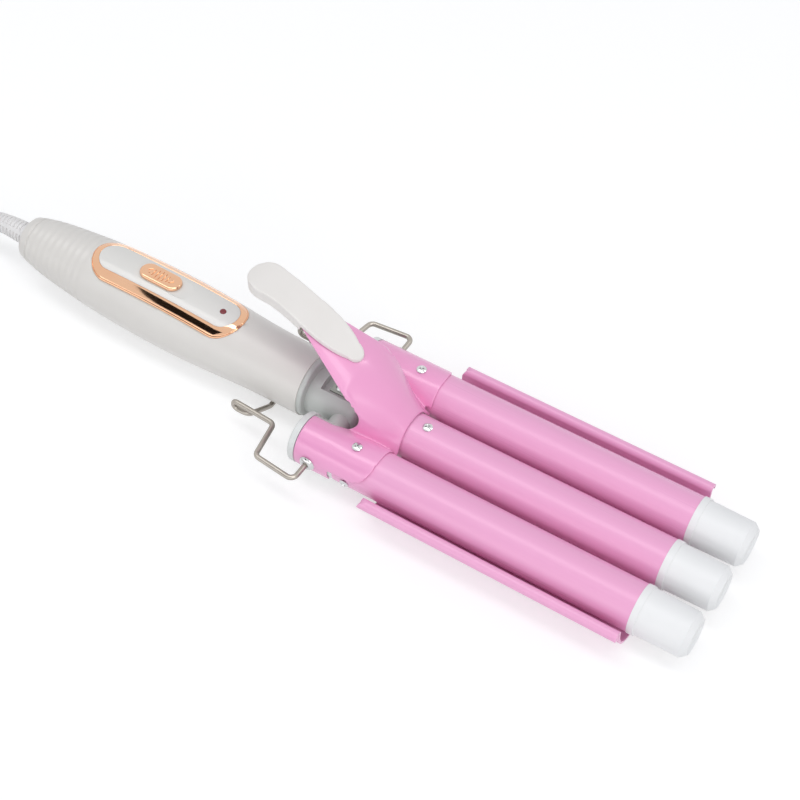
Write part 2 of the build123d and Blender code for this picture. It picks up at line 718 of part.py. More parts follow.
def rear_plug(name, side):
    """Stopper of an outer barrel: it turns on the neck's journal and holds the stand's rivet."""
    inward = -OUTWARD[name]
    bore_seat = seat(0, side + inward * COVER_OUTER, 0, (0, inward, 0))
    with BuildPart() as plug:
        with BuildSketch(across(-PLUG_REAR_REACH, side)):
            Circle(COVER_OUTER)
        extrude(amount=PLUG_FLANGE_LENGTH)
        fillet(plug.edges().group_by(Axis.X)[0], PLUG_ROUNDING)
        with BuildSketch(across(PLUG_FLANGE_LENGTH - PLUG_REAR_REACH, side)):
            Circle(BARREL_RADIUS)
        extrude(amount=OUTER_TUBE_START + PLUG_REAR_REACH - PLUG_FLANGE_LENGTH)
        with BuildSketch(across(OUTER_TUBE_START, side)):
            Circle(SPIGOT_RADIUS)
        extrude(amount=PLUG_SPIGOT_END - OUTER_TUBE_START)
        with BuildSketch(across(0, side)):
            Circle(PLUG_CHANNEL_RADIUS)
        extrude(amount=PLUG_SPIGOT_END, mode=Mode.SUBTRACT)
        reach = JOURNAL_REACH + JOURNAL_FIT - BARREL_PITCH + COVER_OUTER
        holes([bore_seat], JOURNAL_RADIUS + JOURNAL_FIT, reach)
        holes([RIVET_SEATS[name]], RIVET_HOLE_RADIUS, RIVET_LENGTH + PILOT_FIT)
        holes([RIVET_SEATS[name]], WIRE_HOLE_RADIUS, WIRE_HIDDEN_LENGTH + WIRE_FIT)
        holes([ARM_SCREW_SEATS[name], SIDE_SCREW_SEATS[name]], PILOT_RADIUS, SCREW_LENGTH)
    keep(plug, f"{name}_rear_plug")


def stand_rivets():
    roll = WIRE_HOLE_RADIUS + RIVET_ROLL
    with BuildPart() as blank:
        with BuildSketch(Plane.XZ):
            with BuildLine():
                Polyline(
                    (RIVET_HEAD_RADIUS, 0),
                    (RIVET_SHANK_RADIUS, 0),
                    (RIVET_SHANK_RADIUS, -RIVET_LENGTH),
                    (WIRE_HOLE_RADIUS, -RIVET_LENGTH),
                    (WIRE_HOLE_RADIUS, RIVET_HEAD_EDGE),
                    (roll, RIVET_HEAD_HEIGHT),
                )
                RadiusArc((roll, RIVET_HEAD_HEIGHT), (RIVET_HEAD_RADIUS, 0), RIVET_DOME)
            make_face()
        revolve(axis=Axis.Z)
    with BuildPart() as rivets:
        with Locations(*RIVET_SEATS.values()):
            add(blank.part)
    keep(rivets, "stand_rivets")


def wire_stand():
    """Bent wire: ends in the rivets, a foot loop on each side and a bar under the grip."""
    side = BARREL_PITCH + COVER_OUTER + STAND_SIDE_GAP
    cross = -PLUG_REAR_REACH - STAND_REAR_GAP
    leg = BARREL_PITCH + STAND_LEG_OFFSET
    leg_end = leg - STAND_LEG_TOE_IN
    reach = cross - STAND_CROSS_SLANT - STAND_LEG_LENGTH
    half = [
        (0, WIRE_END, 0),
        (0, side, 0),
        (cross, side - STAND_TOE_IN, 0),
        (cross - STAND_CROSS_SLANT, leg, 0),
        (reach, leg_end, 0),
        (reach, leg_end, -STAND_LOOP_HEIGHT),
        (reach + STAND_LOOP_LENGTH, leg_end, -STAND_LOOP_HEIGHT),
        (reach + STAND_LOOP_LENGTH, STAND_HALF_BAR, WIRE_RADIUS - AXIS_HEIGHT),
    ]
    points = half + [(x, -y, z) for x, y, z in reversed(half)]
    loop_bend = (STAND_LOOP_HEIGHT - STAND_LOOP_SLACK) / 2
    bends = [WIRE_BEND, WIRE_BEND, WIRE_BEND, loop_bend, loop_bend, WIRE_BEND, WIRE_BEND]
    with BuildPart() as stand:
        with BuildLine(Plane(origin=(HINGE, 0, AXIS_HEIGHT))) as path:
            FilletPolyline(*points, radius=bends + bends[::-1])
        with BuildSketch(Plane(origin=path.line @ 0, z_dir=path.line % 0)):
            Circle(WIRE_RADIUS)
        sweep(path=path.line)
    keep(stand, "wire_stand")


def pad_prism(inset):
    """Upright prism over the pad's plan, which is round at the rear and tapers to a round tip."""
    rear_radius = PAD_HALF_WIDTH - inset
    tip_root = PAD_FRONT - PAD_TIP_LENGTH
    tip_half_width = PAD_FRONT_HALF_WIDTH - inset
    side = [(PAD_REAR + PAD_HALF_WIDTH, rear_radius)]
    side += [(station, half_width - inset) for station, half_width in PAD_WAIST]
    side += [(tip_root, tip_half_width)]
    with BuildPart() as prism:
        with BuildSketch(above()):
            with BuildLine():
                Spline(*side)
                ThreePointArc(side[-1], (PAD_FRONT - inset, 0), (tip_root, -tip_half_width))
                Spline(*[(station, -half_width) for station, half_width in side])
                ThreePointArc(side[0], (PAD_REAR + inset, 0), (side[0][0], -rear_radius))
            make_face()
        extrude(amount=FAR / 4)
    return prism.part


def below_pad_top(depth, rear, front):
    """Space lower than a depth under the pad's top, between two stations."""
    with BuildPart() as space:
        with BuildSketch(beside(FAR / 8)):
            with BuildLine():
                top = Spline(*[(station, COVER_OUTER + height - depth) for station, height in PAD_TOP])
                Polyline(top @ 1, ((top @ 1).X, 0), ((top @ 0).X, 0), top @ 0)
            make_face()
            with Locations(((rear + front) / 2, 0)):
                Rectangle(front - rear, FAR, mode=Mode.INTERSECT)
        extrude(amount=FAR / 4)
    return space.part


def pad_hollow():
    with BuildPart() as hollow:
        add(pad_prism(PAD_SKIRT_WALL))
        add(below_pad_top(PAD_THICKNESS, PAD_REAR, PAD_SKIRT_FRONT), mode=Mode.INTERSECT)
    return hollow.part


def thumb_pad():
    """Moulded finger rest: a blade seated on the tongue that deepens into a skirt at the rear."""
    rear = PAD_REAR - CUT_MARGIN
    front = PAD_FRONT + CUT_MARGIN
    with BuildPart() as pad:
        add(pad_prism(0.0))
        add(below_pad_top(0.0, rear, front), mode=Mode.INTERSECT)
        add(below_pad_top(PAD_SKIRT_DEPTH, rear, PAD_SKIRT_FRONT), mode=Mode.SUBTRACT)
        add(below_pad_top(PAD_BLADE_DEPTH, PAD_SKIRT_FRONT, front), mode=Mode.SUBTRACT)
        add(pad_hollow(), mode=Mode.SUBTRACT)
        add(ramp_solid(raised=PAD_SEAT_GAP), mode=Mode.SUBTRACT)
    keep(pad, "thumb_pad")


# ------------------------------------------------------------------------------- neck and spring


SPRING_SCREW_SEAT = seat(SPRING_SCREW_STATION, 0, NECK_SLOT_FLOOR + SPRING_THICKNESS, (0, 0, 1))


def neck_housing():
    """Heat-resistant nose of the grip: a collar, a slotted barrel and two hollow journals."""
    with BuildPart() as neck:
        with BuildSketch(across(-GRIP_TO_HINGE)):
            Circle(NECK_RADIUS)
        extrude(amount=GRIP_TO_HINGE + NECK_FRONT)
        fillet(neck.edges().group_by(Axis.X)[-1], NECK_FRONT_ROUNDING)
        with BuildSketch(GRIP_ACROSS):
            Circle(COLLAR_RADIUS)
        extrude(amount=-COLLAR_LENGTH)
        collar_edges = neck.edges().filter_by(GeomType.CIRCLE).sort_by(SortBy.RADIUS)[-2:]
        fillet(collar_edges.sort_by(Axis.X)[-1], COLLAR_ROUNDING)
        with BuildSketch(GRIP_ACROSS):
            Circle(GRIP_OUTLINE[0][1] - GRIP_WALL - SPIGOT_FIT)
        extrude(amount=NECK_SPIGOT_LENGTH)
        with BuildSketch(beside(JOURNAL_REACH)):
            Circle(JOURNAL_RADIUS)
        extrude(amount=2 * JOURNAL_REACH)
        with BuildSketch(beside(JOURNAL_REACH)):
            Circle(JOURNAL_BORE_RADIUS)
        extrude(amount=2 * JOURNAL_REACH, mode=Mode.SUBTRACT)
        with BuildSketch(across(-GRIP_TO_HINGE - 2 * NECK_SPIGOT_LENGTH)):
            Circle(NECK_BORE_RADIUS)
        extrude(amount=GRIP_TO_HINGE + 3 * NECK_SPIGOT_LENGTH, mode=Mode.SUBTRACT)
        with BuildSketch(above(NECK_SLOT_FLOOR)):
            with Locations((NECK_SLOT_REAR, 0)):
                Rectangle(
                    2 * NECK_FRONT - NECK_SLOT_REAR,
                    2 * NECK_SLOT_HALF_WIDTH,
                    align=(Align.MIN, Align.CENTER),
                )
        extrude(amount=NECK_RADIUS, mode=Mode.SUBTRACT)
        holes([SPRING_SCREW_SEAT], PILOT_RADIUS, SPRING_SCREW_LENGTH)
    keep(neck, "neck_housing")


def barrel_insulator():
    """Ceramic-filled core that joins the middle barrel to the neck."""
    with BuildPart() as core:
        with BuildSketch(across(INSULATOR_REAR)):
            Circle(NECK_BORE_RADIUS - SPIGOT_FIT)
        extrude(amount=MIDDLE_TUBE_START - INSULATOR_REAR)
        with BuildSketch(across(MIDDLE_TUBE_START)):
            Circle(SPIGOT_RADIUS)
        extrude(amount=INSULATOR_FRONT - MIDDLE_TUBE_START)
        with BuildSketch(across(INSULATOR_REAR)):
            Circle(PLUG_CHANNEL_RADIUS)
        extrude(amount=INSULATOR_FRONT - INSULATOR_REAR, mode=Mode.SUBTRACT)
        holes([SPRING_SCREW_SEAT], PILOT_RADIUS, SPRING_SCREW_LENGTH)
        holes([MIDDLE_SCREW_SEAT, PLATE_SCREW_SEATS[0]], PILOT_RADIUS, SCREW_LENGTH)
    keep(core, "barrel_insulator")


def leaf_spring():
    """Folded strip: its lower limb is screwed to the neck, its tip presses under the tongue."""
    floor_line = NECK_SLOT_FLOOR + SPRING_THICKNESS / 2
    with BuildPart() as spring:
        with BuildSketch(beside(SPRING_WIDTH / 2)):
            with BuildLine():
                FilletPolyline(
                    (SPRING_REAR, floor_line),
                    (SPRING_FOLD, floor_line),
                    (SPRING_KNEE[0], COVER_OUTER + SPRING_KNEE[1]),
                    (SPRING_TIP[0], COVER_OUTER + SPRING_TIP[1]),
                    radius=[SPRING_BEND, SPRING_TIP_BEND],
                )
            trace(line_width=SPRING_THICKNESS)
        extrude(amount=SPRING_WIDTH)
        holes([SPRING_SCREW_SEAT], PILOT_RADIUS, SPRING_THICKNESS)
    keep(spring, "leaf_spring")


# ------------------------------------------------------------------------------------------ grip


def grip_body(offset_by, length=GRIP_LENGTH, start=0.0):
    """Turned body of the grip, drawn in or let out by an offset."""
    with BuildPart() as body:
        with BuildSketch(GRIP_SIDE):
            with BuildLine():
                rows = [(s, r + offset_by) for s, r in GRIP_OUTLINE] + [(length, GRIP_END_RADIUS + offset_by)]
                Spline(*rows)
                corners = [rows[-1], (length, 0), (start, 0), rows[0]]
                if start < 0:
                    corners.insert(3, (start, rows[0][1]))
                Polyline(*corners)
            make_face()
        revolve(axis=GRIP_AXIS)
    return body.part


def grip_radius(station):
    """Outer radius of the grip at a station, read off its outline by halving."""
    with BuildLine():
        edge = Spline(*GRIP_OUTLINE, (GRIP_LENGTH, GRIP_END_RADIUS))
    low, high = 0.0, 1.0
    for _ in range(HALVINGS):
        middle = (low + high) / 2
        if (edge @ middle).X < station:
            low = middle
        else:
            high = middle
    return (edge @ high).Y


def panel_prism(length, width):
    with BuildPart() as prism:
        with BuildSketch(GRIP_LEVEL):
            with Locations((PANEL_CENTRE, 0)):
                SlotOverall(length, width)
        extrude(amount=GRIP_HALF_ROOM)
    return prism.part


GRIP_DOWNWARD = tuple(-part for part in GRIP_UPWARD)
KNOB_SEAT_RADIUS = grip_radius(KNOB_CENTRE)
STEM_SLOT_CENTRE = KNOB_CENTRE - KNOB_TRAVEL / 2
STEM_SLOT_LENGTH = KNOB_STEM_LENGTH + KNOB_TRAVEL + 2 * STEM_GAP
STEM_SLOT_WIDTH = KNOB_STEM_WIDTH + 2 * STEM_GAP
KNOB_BOTTOM = KNOB_SEAT_RADIUS - PANEL_POCKET_DEPTH + KNOB_LIFT
KNOB_TOP = KNOB_SEAT_RADIUS + INLAY_PROUD + KNOB_HEIGHT
BOARD_TOP = BOARD_HEIGHT + BOARD_THICKNESS
BOARD_POSTS = (
    (BOARD_CENTRE - BOARD_LENGTH / 2 + BOARD_POST_FRONT_INSET, BOARD_POST_SIDE),
    (BOARD_CENTRE + BOARD_LENGTH / 2 - BOARD_POST_REAR_INSET, -BOARD_POST_SIDE),
)
CLAMP_POSTS = tuple((CORD_CLAMP_STATION, side) for side in (-CLAMP_POST_SIDE, CLAMP_POST_SIDE))
CASE_POSTS = ((CASE_SCREW_FRONT, 0), (GRIP_LENGTH - CASE_SCREW_FROM_REAR, 0))
CASE_SCREW_SEATS = [
    on_grip(station, side, CASE_SCREW_HEAD_DEPTH - grip_radius(station), GRIP_DOWNWARD)
    for station, side in CASE_POSTS
]
BOARD_SCREW_SEATS = [on_grip(station, side, BOARD_HEIGHT, GRIP_DOWNWARD) for station, side in BOARD_POSTS]
CLAMP_SCREW_SEATS = [
    on_grip(station, side, CORD_DIAMETER / 2 + CLAMP_BAR_THICKNESS) for station, side in CLAMP_POSTS
]


def grip_shell():
    """Both halves of the grip in one, before it is parted."""
    with BuildPart() as shell:
        add(grip_body(0.0))
        end_edge = shell.edges().filter_by(GeomType.CIRCLE).sort_by(Axis.X)[0]
        fillet(end_edge, GRIP_END_ROUNDING)
        # finger ribs: rings cut round the rear of the grip
        with BuildSketch(GRIP_SIDE):
            for index in range(RIB_COUNT):
                station = RIB_START + index * RIB_PITCH
                bottom = grip_radius(station) - RIB_DEPTH
                mouth = RIB_HALF_WIDTH * RIB_CUT_HEIGHT / RIB_DEPTH
                with BuildLine():
                    Polyline(
                        (station, bottom),
                        (station + mouth, bottom + RIB_CUT_HEIGHT),
                        (station - mouth, bottom + RIB_CUT_HEIGHT),
                        close=True,
                    )
                make_face()
        revolve(axis=GRIP_AXIS, mode=Mode.SUBTRACT)
        add(grip_body(-GRIP_WALL, GRIP_LENGTH - GRIP_WALL, -GRIP_WALL), mode=Mode.SUBTRACT)
        with BuildSketch(GRIP_ACROSS.offset(GRIP_LENGTH - 2 * GRIP_WALL)):
            Circle(RELIEF_ROOT_RADIUS + RELIEF_GRIP_FIT)
        extrude(amount=3 * GRIP_WALL, mode=Mode.SUBTRACT)
    return shell.part


def grip_posts(places, radius, height, way):
    """Round posts that stand in the grip from a height to its wall, up (1) or down (-1)."""
    with BuildPart() as posts:
        with BuildSketch(GRIP_LEVEL.offset(height)):
            with Locations(*[(station, -side) for station, side in places]):
                Circle(radius)
        extrude(amount=way * GRIP_HALF_ROOM)
        add(grip_body(POST_ROOT - GRIP_WALL), mode=Mode.INTERSECT)
    return posts.part


def panel_pocket():
    with BuildPart() as pocket:
        add(panel_prism(BEZEL_LENGTH + 2 * PANEL_EDGE_GAP, BEZEL_WIDTH + 2 * PANEL_EDGE_GAP))
        add(grip_body(-PANEL_POCKET_DEPTH), mode=Mode.SUBTRACT)
    return pocket.part


def upper_shell(shell):
    with BuildPart() as upper:
        add(shell)
        split(bisect_by=GRIP_LEVEL.offset(-PARTING_DROP), keep=Keep.TOP)
        add(grip_posts(CASE_POSTS, CASE_POST_RADIUS, -PARTING_DROP, 1))
        add(grip_posts(BOARD_POSTS, BOARD_POST_RADIUS, BOARD_TOP, 1))
        add(panel_pocket(), mode=Mode.SUBTRACT)
        with BuildSketch(GRIP_LEVEL):
            with Locations((STEM_SLOT_CENTRE, 0)):
                Rectangle(STEM_SLOT_LENGTH, STEM_SLOT_WIDTH)
            with Locations((LENS_CENTRE, 0)):
                Circle(LENS_RADIUS + PANEL_SEAT_GAP)
        extrude(amount=GRIP_HALF_ROOM, mode=Mode.SUBTRACT)
        holes(CASE_SCREW_SEATS, PILOT_RADIUS, CASE_SCREW_LENGTH)
        holes(BOARD_SCREW_SEATS, PILOT_RADIUS, BOARD_SCREW_LENGTH)
    keep(upper, "grip_upper_shell")


def lower_shell(shell):
    with BuildPart() as lower:
        add(shell)
        split(bisect_by=GRIP_LEVEL.offset(-PARTING_DROP), keep=Keep.BOTTOM)
        add(grip_posts(CASE_POSTS, CASE_BOSS_RADIUS, -PARTING_DROP, -1))
        add(grip_posts(CLAMP_POSTS, CLAMP_POST_RADIUS, CORD_DIAMETER / 2, -1))
        # sunk seats for the heads of the case screws
        with Locations(*CASE_SCREW_SEATS):
            Cylinder(
                SCREW_HEAD_RADIUS + SCREW_HEAD_GAP,
                GRIP_HALF_ROOM,
                align=(Align.CENTER, Align.CENTER, Align.MIN),
                mode=Mode.SUBTRACT,
            )
        holes(CASE_SCREW_SEATS, PILOT_RADIUS, CASE_SCREW_LENGTH)
        holes(CLAMP_SCREW_SEATS, PILOT_RADIUS, SCREW_LENGTH)
    keep(lower, "grip_lower_shell")


def panel():
    seat_body = grip_body(PANEL_SEAT_GAP - PANEL_POCKET_DEPTH)
    with BuildPart() as bezel:
        add(panel_prism(BEZEL_LENGTH, BEZEL_WIDTH))
        add(panel_prism(INLAY_LENGTH, INLAY_WIDTH), mode=Mode.SUBTRACT)
        add(grip_body(BEZEL_PROUD), mode=Mode.INTERSECT)
        add(seat_body, mode=Mode.SUBTRACT)
    keep(bezel, "panel_bezel")
    with BuildPart() as inlay:
        add(panel_prism(INLAY_LENGTH - PANEL_EDGE_GAP, INLAY_WIDTH - PANEL_EDGE_GAP))
        add(grip_body(INLAY_PROUD), mode=Mode.INTERSECT)
        add(seat_body, mode=Mode.SUBTRACT)
        with BuildSketch(GRIP_LEVEL):
            with Locations((STEM_SLOT_CENTRE, 0)):
                SlotOverall(KNOB_LENGTH + KNOB_TRAVEL + 2 * KNOB_GAP, KNOB_WIDTH + 2 * KNOB_GAP)
            with Locations((LENS_CENTRE, 0)):
                Circle(LENS_RADIUS + PANEL_SEAT_GAP)
        extrude(amount=GRIP_HALF_ROOM, mode=Mode.SUBTRACT)
    keep(inlay, "panel_inlay")


def switch():
    with BuildPart() as knob:
        with BuildSketch(GRIP_LEVEL.offset(KNOB_BOTTOM)):
            with Locations((KNOB_CENTRE, 0)):
                SlotOverall(KNOB_LENGTH, KNOB_WIDTH)
        extrude(amount=KNOB_TOP - KNOB_BOTTOM)
        fillet(knob.edges().group_by(GRIP_LIFT)[-1], KNOB_ROUNDING)
        with BuildSketch(GRIP_LEVEL.offset(KNOB_TOP)):
            with Locations((KNOB_CENTRE, 0)):
                with GridLocations(KNOB_BAR_PITCH, 0, KNOB_BAR_COUNT, 1):
                    Rectangle(KNOB_BAR_WIDTH, KNOB_BAR_LENGTH)
        extrude(amount=-KNOB_BAR_DEPTH, mode=Mode.SUBTRACT)
        with BuildSketch(GRIP_LEVEL.offset(KNOB_BOTTOM)):
            with Locations((KNOB_CENTRE, 0)):
                Rectangle(KNOB_STEM_LENGTH, KNOB_STEM_WIDTH)
        extrude(amount=-KNOB_STEM_DEPTH)
    keep(knob, "switch_knob")
    ceiling = sqrt((KNOB_SEAT_RADIUS - GRIP_WALL) ** 2 - (SWITCH_WIDTH / 2) ** 2) - SWITCH_TOP_GAP
    with BuildPart() as block:
        with BuildSketch(GRIP_LEVEL.offset(BOARD_TOP)):
            with Locations((STEM_SLOT_CENTRE, 0)):
                Rectangle(SWITCH_LENGTH, SWITCH_WIDTH)
        extrude(amount=ceiling - BOARD_TOP)
        with BuildSketch(GRIP_LEVEL.offset(KNOB_BOTTOM - KNOB_STEM_DEPTH - STEM_GAP)):
            with Locations((STEM_SLOT_CENTRE, 0)):
                Rectangle(STEM_SLOT_LENGTH, KNOB_STEM_WIDTH + 2 * SWITCH_SLIDE_GAP)
        extrude(amount=GRIP_HALF_ROOM, mode=Mode.SUBTRACT)
    keep(block, "power_switch")


def electronics():
    with BuildPart() as board:
        with BuildSketch(GRIP_LEVEL.offset(BOARD_HEIGHT)):
            with Locations((BOARD_CENTRE, 0)):
                RectangleRounded(BOARD_LENGTH, BOARD_WIDTH, BOARD_CORNER)
        extrude(amount=BOARD_THICKNESS)
        holes(BOARD_SCREW_SEATS, PILOT_RADIUS, BOARD_SCREW_LENGTH)
    keep(board, "circuit_board")
    lens_root = grip_radius(LENS_CENTRE) - LENS_ROOT_DEPTH
    lens_top = grip_radius(LENS_CENTRE) + INLAY_PROUD
    with BuildPart() as led:
        with BuildSketch(GRIP_LEVEL.offset(BOARD_TOP)):
            with Locations((LENS_CENTRE, 0)):
                Circle(LED_RADIUS)
        extrude(amount=lens_root - BOARD_TOP - LED_GAP)
    keep(led, "indicator_led")
    with BuildPart() as lens:
        with BuildSketch(GRIP_LEVEL.offset(lens_root)):
            with Locations((LENS_CENTRE, 0)):
                Circle(LENS_RADIUS)
        extrude(amount=lens_top + LENS_DOME - lens_root)
        fillet(lens.edges().group_by(GRIP_LIFT)[-1], LENS_DOME)
    keep(lens, "indicator_lens")


# ------------------------------------------------------------------------------------------ cord


def relief_plane(arc_length):
    """Plane across the strain relief, which bends down from the grip's axis on an arc."""
    turn = arc_length / RELIEF_BEND_RADIUS
    along = GRIP_LENGTH + RELIEF_BEND_RADIUS * sin(turn)
    drop = RELIEF_BEND_RADIUS * (1 - cos(turn))
    origin = [
        start + along * rear - drop * up
        for start, rear, up in zip(GRIP_ORIGIN, GRIP_REARWARD, GRIP_UPWARD)
    ]
    tangent = [cos(turn) * rear - sin(turn) * up for rear, up in zip(GRIP_REARWARD, GRIP_UPWARD)]
    return Plane(origin=origin, x_dir=(0, 1, 0), z_dir=tangent)


# Route of the cord on the table, from the tip of the strain relief to the coil and from the
# coil to the plug; the coil takes up the rest of its length.
RELIEF_TIP = relief_plane(RELIEF_LENGTH)
CORD_REST = CORD_DIAMETER / 2 + COIL_LIFT
CORD_FALL = (RELIEF_TIP.origin.Z - CORD_REST) / -RELIEF_TIP.z_dir.Z
CORD_ROUTE = [
    tuple(RELIEF_TIP.origin),
    tuple(RELIEF_TIP.origin + RELIEF_TIP.z_dir * CORD_FALL),
    (COIL_ENTRY, 0.0, CORD_REST),
]
CORD_TAIL = [
    (COIL_ENTRY, -2 * COIL_OUTER_TURN, CORD_REST + COIL_LAYER_STEP),
    (COIL_ENTRY + TAIL_SLOPE_LENGTH, -2 * COIL_OUTER_TURN, PLUG_BODY_HEIGHT / 2),
    (COIL_ENTRY + TAIL_LENGTH, -2 * COIL_OUTER_TURN, PLUG_BODY_HEIGHT / 2),
]
COIL_CENTRE = (COIL_ENTRY - COIL_INSET, -COIL_OUTER_TURN)
PLUG_REAR = CORD_TAIL[-1]


def strain_relief():
    with BuildPart() as relief:
        for step in range(RELIEF_SECTIONS):
            share = step / (RELIEF_SECTIONS - 1)
            with BuildSketch(relief_plane(RELIEF_LENGTH * share)):
                Circle(RELIEF_ROOT_RADIUS + (RELIEF_TIP_RADIUS - RELIEF_ROOT_RADIUS) * share)
        loft()
        with BuildSketch(GRIP_ACROSS.offset(GRIP_LENGTH)):
            Circle(RELIEF_ROOT_RADIUS)
        extrude(amount=-GRIP_WALL)
        with BuildSketch(GRIP_ACROSS.offset(GRIP_LENGTH - GRIP_WALL)):
            Circle(RELIEF_FLANGE_RADIUS)
        extrude(amount=-RELIEF_FLANGE_LENGTH)
    keep(relief, "strain_relief")


def cord_inside():
    with BuildPart() as lead:
        with BuildSketch(GRIP_ACROSS.offset(GRIP_LENGTH - GRIP_WALL - RELIEF_FLANGE_LENGTH)):
            Circle(CORD_DIAMETER / 2)
        extrude(amount=-INNER_CORD_LENGTH)
    keep(lead, "cord_inner_end")
    with BuildPart() as clamp:
        with BuildSketch(GRIP_LEVEL.offset(CORD_DIAMETER / 2)):
            with Locations((CORD_CLAMP_STATION, 0)):
                bar_length = 2 * (CLAMP_POST_SIDE + CLAMP_BAR_OVERHANG)
                RectangleRounded(CLAMP_BAR_WIDTH, bar_length, CLAMP_BAR_CORNER)
        extrude(amount=CLAMP_BAR_THICKNESS)
        holes(CLAMP_SCREW_SEATS, PILOT_RADIUS, CLAMP_BAR_THICKNESS)
    keep(clamp, "cord_clamp")


def cord_runs():
    with BuildPart() as cord:
        for points in (CORD_ROUTE, CORD_TAIL):
            corners = [Vector(*p) for p in points]
            radii = []
            for before, here, after in zip(corners, corners[1:], corners[2:]):
                turn = radians((here - before).get_angle(after - here))
                shorter = min((here - before).length, (after - here).length)
                radii.append(CORD_BEND_SHARE * shorter / tan(turn / 2))
            print("cord bend radii", [round(r, 1) for r in radii])
            with BuildLine() as path:
                FilletPolyline(*points, radius=radii)
            with BuildSketch(Plane(origin=path.line @ 0, z_dir=path.line % 0)):
                Circle(CORD_DIAMETER / 2)
            sweep(path=path.line)
    keep(cord, "cord_tube")


def cord_coil():
    with BuildPart() as coil:
        with BuildSketch(Plane(origin=(*COIL_CENTRE, COIL_LIFT))):
            Circle(COIL_OUTER_TURN + CORD_DIAMETER / 2)
            Circle(COIL_INNER_TURN - CORD_DIAMETER / 2, mode=Mode.SUBTRACT)
        extrude(amount=COIL_LAYER_STEP + CORD_DIAMETER)
        fillet(coil.edges(), COIL_EDGE_ROUNDING)
    keep(coil, "cord_coil")


def mains_plug():
    """Flat two-pin plug lying on the table, its cord entering at the rear."""
    nose = Plane(origin=PLUG_REAR, x_dir=(0, 1, 0), z_dir=(1, 0, 0))
    face = nose.offset(PLUG_NOSE_LENGTH + PLUG_BODY_LENGTH)
    waist = nose.offset(PLUG_NOSE_LENGTH)
    shoulder = waist.offset(PLUG_SHOULDER_LENGTH)
    with BuildPart() as plug:
        with BuildSketch(nose):
            RectangleRounded(PLUG_NOSE_SIZE, PLUG_NOSE_SIZE, PLUG_CORNER)
        with BuildSketch(waist):
            RectangleRounded(PLUG_WAIST_WIDTH, PLUG_WAIST_HEIGHT, PLUG_CORNER)
        loft()
        with BuildSketch(waist):
            RectangleRounded(PLUG_WAIST_WIDTH, PLUG_WAIST_HEIGHT, PLUG_CORNER)
        with BuildSketch(shoulder):
            RectangleRounded(PLUG_BODY_WIDTH, PLUG_BODY_HEIGHT, PLUG_CORNER)
        loft()
        with BuildSketch(shoulder):
            RectangleRounded(PLUG_BODY_WIDTH, PLUG_BODY_HEIGHT, PLUG_CORNER)
        extrude(amount=PLUG_BODY_LENGTH - PLUG_SHOULDER_LENGTH)
        with BuildSketch(face):
            with GridLocations(PLUG_PIN_SPACING, 1, 2, 1):
                Circle(PLUG_PIN_SLEEVE_RADIUS + PILOT_FIT)
        extrude(amount=-PLUG_PIN_ROOT, mode=Mode.SUBTRACT)
    keep(plug, "mains_plug")
    with BuildPart() as pins:
        # the insulated part of each pin is a little thinner than its bare end
        with BuildSketch(face.offset(-PLUG_PIN_ROOT)):
            with GridLocations(PLUG_PIN_SPACING, 1, 2, 1):
                Circle(PLUG_PIN_SLEEVE_RADIUS)
        extrude(amount=PLUG_PIN_ROOT + PLUG_PIN_SLEEVE_LENGTH)
        with BuildSketch(face.offset(PLUG_PIN_SLEEVE_LENGTH)):
            with GridLocations(PLUG_PIN_SPACING, 1, 2, 1):
                Circle(PLUG_PIN_RADIUS)
        extrude(amount=PLUG_PIN_LENGTH - PLUG_PIN_SLEEVE_LENGTH)
        fillet(pins.edges().group_by(Axis.X)[-1], PLUG_PIN_ROUNDING)
    keep(pins, "plug_pins")


# ------------------------------------------------------------------------------------- assembly

for barrel, offset_side in SIDES.items():
    seats = [ARM_SCREW_SEATS[barrel], SIDE_SCREW_SEATS[barrel]]
    barrel_tube(barrel, offset_side, OUTER_TUBE_START, seats)
    heater(barrel, offset_side, PLUG_SPIGOT_END + HEATER_GAP)
    rear_plug(barrel, offset_side)
barrel_tube("middle", 0.0, MIDDLE_TUBE_START, [MIDDLE_SCREW_SEAT] + PLATE_SCREW_SEATS)
heater("middle", 0.0, INSULATOR_FRONT + HEATER_GAP)
for barrel, offset_side in BARRELS.items():
    tip_cap(barrel, offset_side)
wave_plate()

clamp_cover(ramp_solid())
thumb_pad()
stand_rivets()
wire_stand()

neck_housing()
barrel_insulator()
leaf_spring()

whole_grip = grip_shell()
upper_shell(whole_grip)
lower_shell(whole_grip)
panel()
switch()
electronics()

strain_relief()
cord_inside()
cord_runs()
cord_coil()
mains_plug()

screw_group("arm_screws", ARM_SCREW_SEATS.values(), SCREW_LENGTH)
screw_group("barrel_side_screws", SIDE_SCREW_SEATS.values(), SCREW_LENGTH)
screw_group("middle_barrel_screw", [MIDDLE_SCREW_SEAT], SCREW_LENGTH)
screw_group("wave_plate_screws", PLATE_SCREW_SEATS, SCREW_LENGTH)
screw_group("spring_screw", [SPRING_SCREW_SEAT], SPRING_SCREW_LENGTH)
screw_group("case_screws", CASE_SCREW_SEATS, CASE_SCREW_LENGTH)
screw_group("board_screws", BOARD_SCREW_SEATS, BOARD_SCREW_LENGTH)
screw_group("cord_clamp_screws", CLAMP_SCREW_SEATS, SCREW_LENGTH)
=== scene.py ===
from math import cos, exp, pi, radians, sin, sqrt

